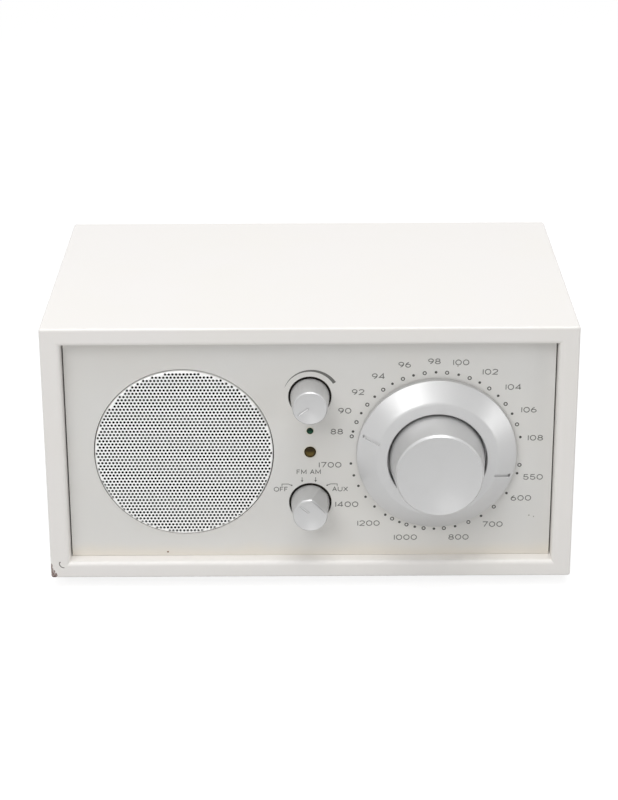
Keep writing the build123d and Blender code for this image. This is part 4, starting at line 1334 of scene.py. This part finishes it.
@dataclass
class DialScale(Assembly):
    """Printed dots and numbers round the dial."""

    dot_circle: float = 34.63
    dot_shift: Point = (-0.25, 0.07)
    dot_sides: int = 24
    end_dots: Point = (168.5, -10.1)
    upper: Tuple[float, ...] = (
        164.9, 157.7, 150.5, 143.2, 135.7, 128.2, 120.8, 113.1, 105.7, 98.2, 90.7,
        83.4, 75.6, 67.9, 60.4, 52.7, 44.7, 36.9, 28.5, 20.0, 10.4,
    )
    lower: Tuple[float, ...] = (
        -16.4, -32.6, -45.7, -56.6, -66.2, -75.7, -83.4, -90.2, -97.2, -103.3,
        -109.2, -114.4, -120.0, -125.5, -135.1, -144.6, -154.1, -162.5, -171.5,
    )
    lower_open: Tuple[int, ...] = (2, 4, 6, 8, 10, 12)
    letters: Lettering = Lettering()

    def dots(self) -> List[Tuple[float, Mark]]:
        """Lists the dots: the upper scale, the lower one, and the two at their ends.

        Returns:
            Angle in degrees and kind of each dot.
        """
        upper_open = range(1, len(self.upper), 2)
        marks = []
        for angles, opened in ((self.upper, upper_open), (self.lower, self.lower_open)):
            for i, angle in enumerate(angles):
                marks.append((angle, Mark.OPEN if i in opened else Mark.FILLED))
        return marks + [(angle, Mark.OPEN) for angle in self.end_dots]

    def numbers(self) -> Dict[str, Point]:
        """Middle of each number, right of and above the dial's axis."""
        return {
            "88": (-40.2, 9.1), "90": (-37.0, 18.2), "92": (-31.7, 26.3), "94": (-23.6, 33.1),
            "96": (-13.2, 38.0), "98": (-1.4, 39.4), "100": (9.3, 38.9), "102": (21.0, 34.8),
            "104": (30.4, 28.2), "106": (36.9, 18.3), "108": (39.9, 6.0), "550": (39.5, -11.4),
            "600": (34.9, -20.8), "700": (23.6, -32.6), "800": (9.8, -38.4),
            "1000": (-12.0, -38.4), "1200": (-27.2, -31.9), "1400": (-36.1, -23.3),
            "1700": (-42.9, -5.6),
        }

    def build(self) -> None:
        """Makes and dresses the dots and the numbers."""
        marks, numbers = bmesh.new(), bmesh.new()
        for angle, kind in self.dots():
            x, z = turned(self.dot_circle, 0, math.radians(angle))
            centre = (x + self.dot_shift[0], z + self.dot_shift[1])
            loops = [circle(radius, self.dot_sides, centre) for radius in kind.value]
            add_prism(marks, self.face, loops, self.letters.layer)
        for word, centre in self.numbers().items():
            self.letters.add_word(numbers, self.face, word, centre)
        self.dress(add_piece("scale_dots", marks), "mark_ink")
        self.dress(add_piece("scale_numbers", numbers), "scale_ink")


@dataclass
class ControlLegends(Assembly):
    """Printed swoosh of the volume control, and words and arrows of the band selector."""

    volume: Point = (0.0, 23.2)
    swoosh_radii: Point = (10.8, 12.2)
    swoosh_turn: Point = (158.0, 31.0)
    swoosh_tip: float = 0.06
    swoosh_steps: int = 40
    words: Tuple[Tuple[str, Point], ...] = (
        ("FM", (-3.5, -9.9)),
        ("AM", (2.1, -9.9)),
        ("OFF", (-11.97, -17.6)),
        ("AUX", (12.15, -17.6)),
    )
    straight_at: Point = (-3.3, 2.2)
    straight_levels: Point = (-12.3, -14.5)
    straight_head: float = 0.5
    bent_at: Tuple[Place, ...] = ((-11.5, -8.9, -7.1), (10.95, 8.3, 6.4))
    bent_levels: Place = (-16.35, -15.3, -16.1)
    bent_head: float = 0.42
    head_slope: float = 1.8
    line: float = 0.26
    letters: Lettering = Lettering(height=2.1, stroke=0.3, gap=0.5)

    def swoosh(self, mesh: BMesh) -> None:
        """Adds the arc that widens with the volume.

        Args:
            mesh: Where it is added.
        """
        (x, z), (near, far), (start, end) = self.volume, self.swoosh_radii, self.swoosh_turn
        outer = []
        for i in range(self.swoosh_steps + 1):
            share = i / self.swoosh_steps
            reach = near + self.swoosh_tip + (far - near - self.swoosh_tip) * share
            u, v = turned(reach, 0, math.radians(start + (end - start) * share))
            outer.append((x + u, z + v))
        inner = arc(self.volume, (near, near), end, start, self.swoosh_steps)
        add_prism(mesh, self.face, [outer + inner], self.letters.layer)

    def arrow(self, mesh: BMesh, points: List[Point], head: float) -> None:
        """Adds a thin line that ends in a filled arrow head.

        Args:
            mesh: Where it is added.
            points: The line's points, the last at the tip.
            head: Half the head's width.
        """
        tip, before = Vector(points[-1]), Vector(points[-2])
        run = (tip - before).normalized()
        across = Vector((-run.y, run.x)) * head
        base = tip - run * head * self.head_slope
        add_ribbon(mesh, self.face, points[:-1] + [tuple(base)], self.line, self.letters.layer)
        outline = [tuple(tip), tuple(base + across), tuple(base - across)]
        low, high = self.letters.layer
        add_prism(mesh, self.face, [outline], (low, high + self.letters.lift))

    def build(self) -> None:
        """Makes and dresses the legends."""
        mesh = bmesh.new()
        self.swoosh(mesh)
        for word, centre in self.words:
            self.letters.add_word(mesh, self.face, word, centre)
        for x in self.straight_at:
            self.arrow(mesh, [(x, z) for z in self.straight_levels], self.straight_head)
        foot, top, end = self.bent_levels
        for start, bend, tip in self.bent_at:
            points = [(start, foot), (start, top), (bend, top), (tip, end)]
            self.arrow(mesh, points, self.bent_head)
        self.dress(add_piece("control_legends", mesh), "scale_ink")


@dataclass
class LampRims(Assembly):
    """Thin pale collars round the two small lamps."""

    flange: float = 0.45
    width: float = 0.35
    layer: Point = (-0.02, 0.12)
    sides: int = 64
    smooth_below: float = 40.0

    def build(self) -> None:
        """Makes and dresses one collar for each lamp."""
        for name, node in (("power_lamp_rim", "power_led"), ("tuning_lamp_rim", "tuning_led")):
            low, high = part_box(node)
            middle = (low + high) / 2 / MM
            centre = (middle.x - self.face.x / MM, middle.z - self.face.z / MM)
            radius = (high.x - low.x) / 2 / MM - self.flange
            mesh = bmesh.new()
            loops = [circle(r, self.sides, centre) for r in (radius + self.width, radius)]
            add_prism(mesh, self.face, loops, self.layer)
            self.dress(add_piece(name, mesh, self.smooth_below), "cast_rim")


@dataclass(kw_only=True)
class Suspension(Assembly):
    """Soft ring that joins the moving cone to the frame, made in equal parts.

    Its edges are the radii where it is glued down, and it flexes between two others.
    """

    name: str
    node: str
    finish: str
    moving: str = "cone"
    level: float
    sheet: float
    edges: Point
    flex: Point
    parts: int = 12
    steps: int = 8
    smooth_below: float = 50.0

    def section(self) -> List[Point]:
        """Closed outline of the section: radii and heights."""
        raise NotImplementedError

    def part(self, index: int) -> Object:
        """Makes one part: the section swept through its share of the turn.

        Args:
            index: Number of the part.

        Returns:
            The piece.
        """
        share = 2 * math.pi / self.parts
        section = self.section()
        mesh = bmesh.new()
        rings = []
        for step in range(self.steps + 1):
            angle = share * (index + step / self.steps)
            rings.append([self.face.at(*turned(r, 0, angle), out) for r, out in section])
        levels = add_skin(mesh, rings)
        for level in (levels[0], levels[-1]):
            mesh.faces.new(level)
        return add_piece(f"{self.name}_{index + 1}", mesh, self.smooth_below)

    def build(self) -> None:
        """Makes and dresses every part, and bakes its place into its mesh."""
        half = math.pi / self.parts
        inner, outer = self.flex
        for index in range(self.parts):
            piece = self.part(index)
            self.dress(piece, self.finish, self.node, rides=False)
            start, end = (
                self.face.at(*turned(reach, 0, half * (2 * index + 1)))
                for reach in (inner, outer * math.cos(half))
            )
            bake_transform(piece)


@dataclass(kw_only=True)
class Surround(Suspension):
    """Half-roll rubber surround of the cone."""

    name: str = "surround_part"
    node: str = "speaker_surround"
    finish: str = "black_rubber"
    level: float = -8.6
    sheet: float = 0.6
    edges: Point = (27.25, 37.6)
    flex: Point = (28.65, 32.05)
    middle: float = 30.35
    roll: float = 2.0
    roll_steps: int = 16

    def section(self) -> List[Point]:
        """Draws the flat edges with the roll between them.

        Returns:
            The outline.
        """
        upper, lower = self.roll + self.sheet / 2, self.roll - self.sheet / 2
        lean = math.degrees(math.asin(self.sheet / upper))
        centre = (self.middle, self.level)
        bend = arc(centre, (upper, upper), 180 - lean, lean, self.roll_steps)
        hollow = arc(centre, (lower, lower), 0, 180, self.roll_steps)
        inner, outer = self.edges
        top = self.level + self.sheet
        above = [(inner, top)] + bend + [(outer, top)]
        return above + [(outer, self.level)] + hollow + [(inner, self.level)]


@dataclass(kw_only=True)
class Spider(Suspension):
    """Corrugated cloth spider of the voice coil."""

    name: str = "spider_part"
    node: str = "speaker_spider"
    finish: str = "spider_cloth"
    level: float = -20.2
    sheet: float = 0.4
    edges: Point = (7.95, 20.5)
    flex: Point = (8.95, 18.5)
    parts: int = 8
    steps: int = 12
    swing: float = 0.7
    ridges: int = 2
    wave_steps: int = 48

    def section(self) -> List[Point]:
        """Draws the waves between the flat edges.

        Returns:
            The outline.
        """
        first, last = self.flex
        above = [(self.edges[0], self.level)]
        for step in range(self.wave_steps + 1):
            share = step / self.wave_steps
            height = self.level + self.swing * math.sin(2 * math.pi * self.ridges * share)
            above.append((first + (last - first) * share, height))
        above.append((self.edges[1], self.level))
        return above + [(reach, height - self.sheet) for reach, height in above[::-1]]


@dataclass(frozen=True)
class Slot:
    """Half-round index groove in a knob's face: direction in degrees, sizes in millimetres."""

    angle: float
    start: float = 1.2
    end: float = 5.3
    width: float = 1.05
    lift: float = 0.06
    steps: int = 8
    sides: int = 24

    def cutter(self, face: Face, height: Callable[[float], float]) -> BMesh:
        """Makes the round-ended bar that the groove is cut with.

        Args:
            face: The front, with its origin on the knob's axis.
            height: Gives the height of the knob's face at a radius.

        Returns:
            The bar's mesh.
        """
        half, last = self.width / 2, 3 * self.steps
        rings = []
        for i in range(last + 1):
            along = i / self.steps
            tilt = math.pi / 2 * (min(along - 1, 0.0) + max(0.0, along - 2))
            reach = self.start + (self.end - self.start) * max(0.0, min(along - 1, 1.0))
            reach += half * math.sin(tilt)
            middle = (0.0, height(reach) + self.lift)
            tip = i in (0, last)
            ring = [middle] if tip else circle(half * math.cos(tilt), self.sides, middle)
            turn = math.radians(self.angle)
            rings.append([face.at(*turned(reach, side, turn), out) for side, out in ring])
        mesh = bmesh.new()
        add_skin(mesh, rings)
        return mesh


@dataclass(frozen=True)
class Flat:
    """Leaning flat on a knob's side: direction in degrees, distances from the axis."""

    angle: float
    at_face: float
    at_base: float


@dataclass(kw_only=True)
class Knob(Assembly):
    """Turned knob with a dished face, a rounded edge and a hollow underside."""

    name: str
    node: str
    base_radius: float = 7.95
    face_radius: float = 6.97
    top: float = 12.3
    bottom: float = 0.0
    bevel: Point = (0.4, 0.55)
    edge_in: Point = (0.06, 0.08)
    edge_out: float = 0.02
    foot_in: Point = (0.08, 0.25)
    foot_up: float = 0.3
    dish: float = 1.3
    dish_rings: int = 12
    hollow_radius: float = 6.5
    hollow_top: float = 2.2
    hollow_draft: float = 0.4
    flat: Optional[Flat] = None
    slot: Optional[Slot] = None
    sides: int = 192
    smooth_below: float = 28.0

    def face_height(self, radius: float) -> float:
        """Height of the dished face at a radius."""
        share = radius / (self.face_radius - self.bevel[0])
        return self.top - self.dish * (1 - share**2)

    def outline(self) -> List[Point]:
        """Draws the half section from the middle of the face to the middle of the hollow.

        Returns:
            Its radii and heights.
        """
        rim = self.face_radius - self.bevel[0]
        shoulder = self.top - self.bevel[1]
        radii = [rim * i / self.dish_rings for i in range(self.dish_rings)]
        return [(radius, self.face_height(radius)) for radius in radii] + [
            (rim, self.top),
            (self.face_radius - self.edge_in[0], shoulder + self.edge_in[1]),
            (self.face_radius + self.edge_out, shoulder),
            (self.base_radius - self.foot_in[0], self.bottom + self.foot_up),
            (self.base_radius - self.foot_in[1], self.bottom),
            (self.hollow_radius, self.bottom),
            (self.hollow_radius - self.hollow_draft, self.hollow_top),
            (0.0, self.hollow_top),
        ]

    def ring(self, radius: float, out: float) -> List[Vector]:
        """Points round the knob at one height, straight along the flat.

        Args:
            radius: Radius off the flat.
            out: Height above the front.

        Returns:
            The points.
        """
        if not radius:
            return [self.face.at(0, 0, out)]
        if self.flat is None:
            return [self.face.at(*point, out) for point in circle(radius, self.sides)]
        share = (out - self.bottom) / (self.top - self.bottom)
        limit = self.flat.at_base + (self.flat.at_face - self.flat.at_base) * share
        inward, down = self.bevel
        limit -= inward * max(0.0, 1 - (self.top - out) / down)
        corner = math.acos(min(1.0, limit / radius))
        along = self.sides // 4
        reach = radius * math.sin(corner)
        points = [(min(limit, radius), reach * (2 * i / along - 1)) for i in range(along)]
        rest = self.sides - along
        for i in range(rest):
            points.append(turned(radius, 0, corner + (2 * math.pi - 2 * corner) * i / rest))
        turn = math.radians(self.flat.angle)
        return [self.face.at(*turned(u, v, turn), out) for u, v in points]

    def build(self) -> None:
        """Makes the knob by turning its section, cuts its slot and dresses it."""
        mesh = bmesh.new()
        add_skin(mesh, [self.ring(radius, out) for radius, out in self.outline()])
        piece = add_piece(self.name, mesh, ALL_SMOOTH)
        if self.slot:
            carve(piece, self.slot.cutter(self.face, self.face_height))
        sharpen(piece, self.smooth_below)
        self.dress(piece, "silver_aluminium", self.node)


# ------------------------------------------------------------------------------- the studio


@dataclass(frozen=True)
class Lamp:
    """A round soft lamp: its place and width in metres, and its power in watts."""

    name: str
    at: Place
    width: float
    power: float


@dataclass
class Studio:
    """Pale floor, soft lamps and the camera."""

    camera_at: Place = (-0.08, -799.66, 399.31)
    pitch: float = 20.096
    yaw: float = -0.0057
    roll: float = -0.261
    lens: float = 91.19
    sensor: float = 36.0
    shift: float = -0.1307
    clip: Point = (0.01, 50.0)
    sky: float = 0.276
    sky_grade: Point = (0.8, 0.4)
    sky_rise: Point = (-0.2, 1.0)
    aim: Place = (0.0, 0.0, 0.06)
    lamps: Tuple[Lamp, ...] = (
        Lamp("key_lamp", (-0.6, -1.0, 1.0), 0.9, 6.2),
        Lamp("hood_lamp", (0.0, -0.75, 1.3), 0.9, 1.9),
        Lamp("front_lamp", (-0.1, -1.9, 0.26), 0.5, 0.9),
        Lamp("left_lamp", (-1.4, -0.75, 0.3), 0.6, 0.4),
        Lamp("right_lamp", (1.4, -0.8, 0.3), 0.6, 2.1),
        Lamp("top_lamp", (0.1, -0.1, 1.7), 1.2, 13.2),
    )
    floor_size: float = 6.0
    floor_squares: int = 8
    floor_bounce: float = 0.6
    floor_shade: float = 0.3
    floor_glow: float = 0.83
    floor_fade: Point = (0.4, 1.3)

    def stand_floor(self) -> None:
        """Makes the floor, bright to the eye, with the object's soft shadow on it."""
        mesh = bmesh.new()
        count = self.floor_squares
        bmesh.ops.create_grid(mesh, x_segments=count, y_segments=count, size=self.floor_size / 2)
        floor = add_piece("studio_floor", mesh)
        g = Graph.of_new("studio_floor")
        matt, shade = (
            g.read("ShaderNodeBsdfDiffuse", inputs={"Color": opaque((grey,) * 3)})
            for grey in (self.floor_bounce, self.floor_shade)
        )
        glow, white = (
            g.read("ShaderNodeEmission", inputs={"Color": opaque((1, 1, 1)), "Strength": strength})
            for strength in (self.floor_glow, 1.0)
        )
        lit = g.read("ShaderNodeAddShader", inputs={0: shade, 1: glow})
        far = g.distance((0, 0, 0)).between(*self.floor_fade)
        shown = g.read("ShaderNodeMixShader", inputs={0: far, 1: lit, 2: white})
        g.end(g.read("ShaderNodeMixShader", inputs={0: self.seen(g), 1: matt, 2: shown}))
        floor.data.materials.append(g.owner)

    @staticmethod
    def seen(g: Graph) -> Signal:
        """Tells the rays that show the background.

        Args:
            g: The graph that asks.

        Returns:
            One for a ray from the eye, a reflection or glass, else zero.
        """
        outputs = g.add("ShaderNodeLightPath").outputs
        camera, glossy, glass = (
            Signal(g, outputs[f"Is {kind} Ray"]) for kind in ("Camera", "Glossy", "Transmission")
        )
        return camera.either(glossy).either(glass)

    def light(self) -> None:
        """Makes the sky and the lamps."""
        world = bpy.data.worlds.new("studio_sky")
        bpy.context.scene.world = world
        g = Graph(world, "ShaderNodeOutputWorld")
        lift = g.axes(g.read("ShaderNodeTexCoord", output="Generated"))[2]
        low, rise = self.sky_grade
        grade = self.sky * (low + rise * lift.between(*self.sky_rise))
        seen = self.seen(g)
        inputs = {"Color": opaque((1, 1, 1)), "Strength": seen + (1 - seen) * grade}
        g.end(g.read("ShaderNodeBackground", inputs=inputs))
        for lamp in self.lamps:
            data = bpy.data.lights.new(lamp.name, "AREA")
            data.shape = "DISK"
            data.size = lamp.width
            data.energy = lamp.power
            stand = bpy.data.objects.new(lamp.name, data)
            bpy.context.scene.collection.objects.link(stand)
            aim = Vector(self.aim) - Vector(lamp.at)
            stand.location = lamp.at
            stand.rotation_euler = aim.to_track_quat("-Z", "Y").to_euler()

    def aim_camera(self) -> None:
        """Makes the camera."""
        data = bpy.data.cameras.new("view_camera")
        data.lens = self.lens
        data.sensor_width = self.sensor
        data.shift_y = self.shift
        data.clip_start, data.clip_end = self.clip
        camera = bpy.data.objects.new("view_camera", data)
        bpy.context.scene.collection.objects.link(camera)
        pitch, yaw, roll = (math.radians(a) for a in (self.pitch, self.yaw, self.roll))
        flat = math.cos(pitch)
        ahead = Vector((math.sin(yaw) * flat, math.cos(yaw) * flat, -math.sin(pitch)))
        level = Vector((math.cos(yaw), -math.sin(yaw), 0))
        upright = level.cross(ahead)
        right = level * math.cos(roll) + upright * math.sin(roll)
        up = upright * math.cos(roll) - level * math.sin(roll)
        turn = Matrix((right, up, -ahead)).transposed().to_4x4()
        camera.matrix_world = Matrix.Translation(Vector(self.camera_at) * MM) @ turn
        bpy.context.scene.camera = camera

    def build(self) -> None:
        """Sets the whole studio up."""
        self.stand_floor()
        self.light()
        self.aim_camera()
        bpy.context.scene.view_settings.view_transform = "Standard"


def main() -> None:
    """Builds the looks piece by piece."""
    logging.basicConfig(level=logging.INFO, format="%(message)s")
    wardrobe = Wardrobe(choose_finishes())
    wardrobe.dress_nodes()
    Studio().build()

    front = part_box("faceplate")[0].y
    joints = (joint_point(f"{name}_turn") for name in ("volume", "selector", "dial"))
    speaker, volume, selector, dial = (
        Face(at.x, front, at.z) for at in (middle_of("speaker_grille"), *joints)
    )
    panel = Face(0.0, front, middle_of("faceplate").z)
    for assembly in (
        Grille(speaker, wardrobe),
        Surround(speaker, wardrobe),
        Spider(speaker, wardrobe),
        DialScale(dial, wardrobe),
        ControlLegends(panel, wardrobe),
        LampRims(panel, wardrobe),
        Knob(
            volume,
            wardrobe,
            "volume",
            name="turned_volume_knob",
            node="volume_knob",
            slot=Slot(angle=214.0),
        ),
        Knob(
            selector,
            wardrobe,
            "selector",
            name="turned_selector_knob",
            node="selector_knob",
            flat=Flat(angle=45.0, at_face=5.3, at_base=7.7),
            slot=Slot(angle=135.5),
        ),
        Knob(
            dial,
            wardrobe,
            "tuner",
            name="turned_tuning_knob",
            node="tuning_knob",
            base_radius=19.5,
            face_radius=17.5,
            top=23.5,
            bottom=4.4,
            bevel=(0.7, 0.95),
            dish=3.0,
            hollow_radius=17.5,
            hollow_top=20.3,
            sides=256,
        ),
    ):
        log.info("building %s", type(assembly).__name__)
        assembly.build()

    bpy.context.view_layer.update()


if __name__ == "__main__":
    main()
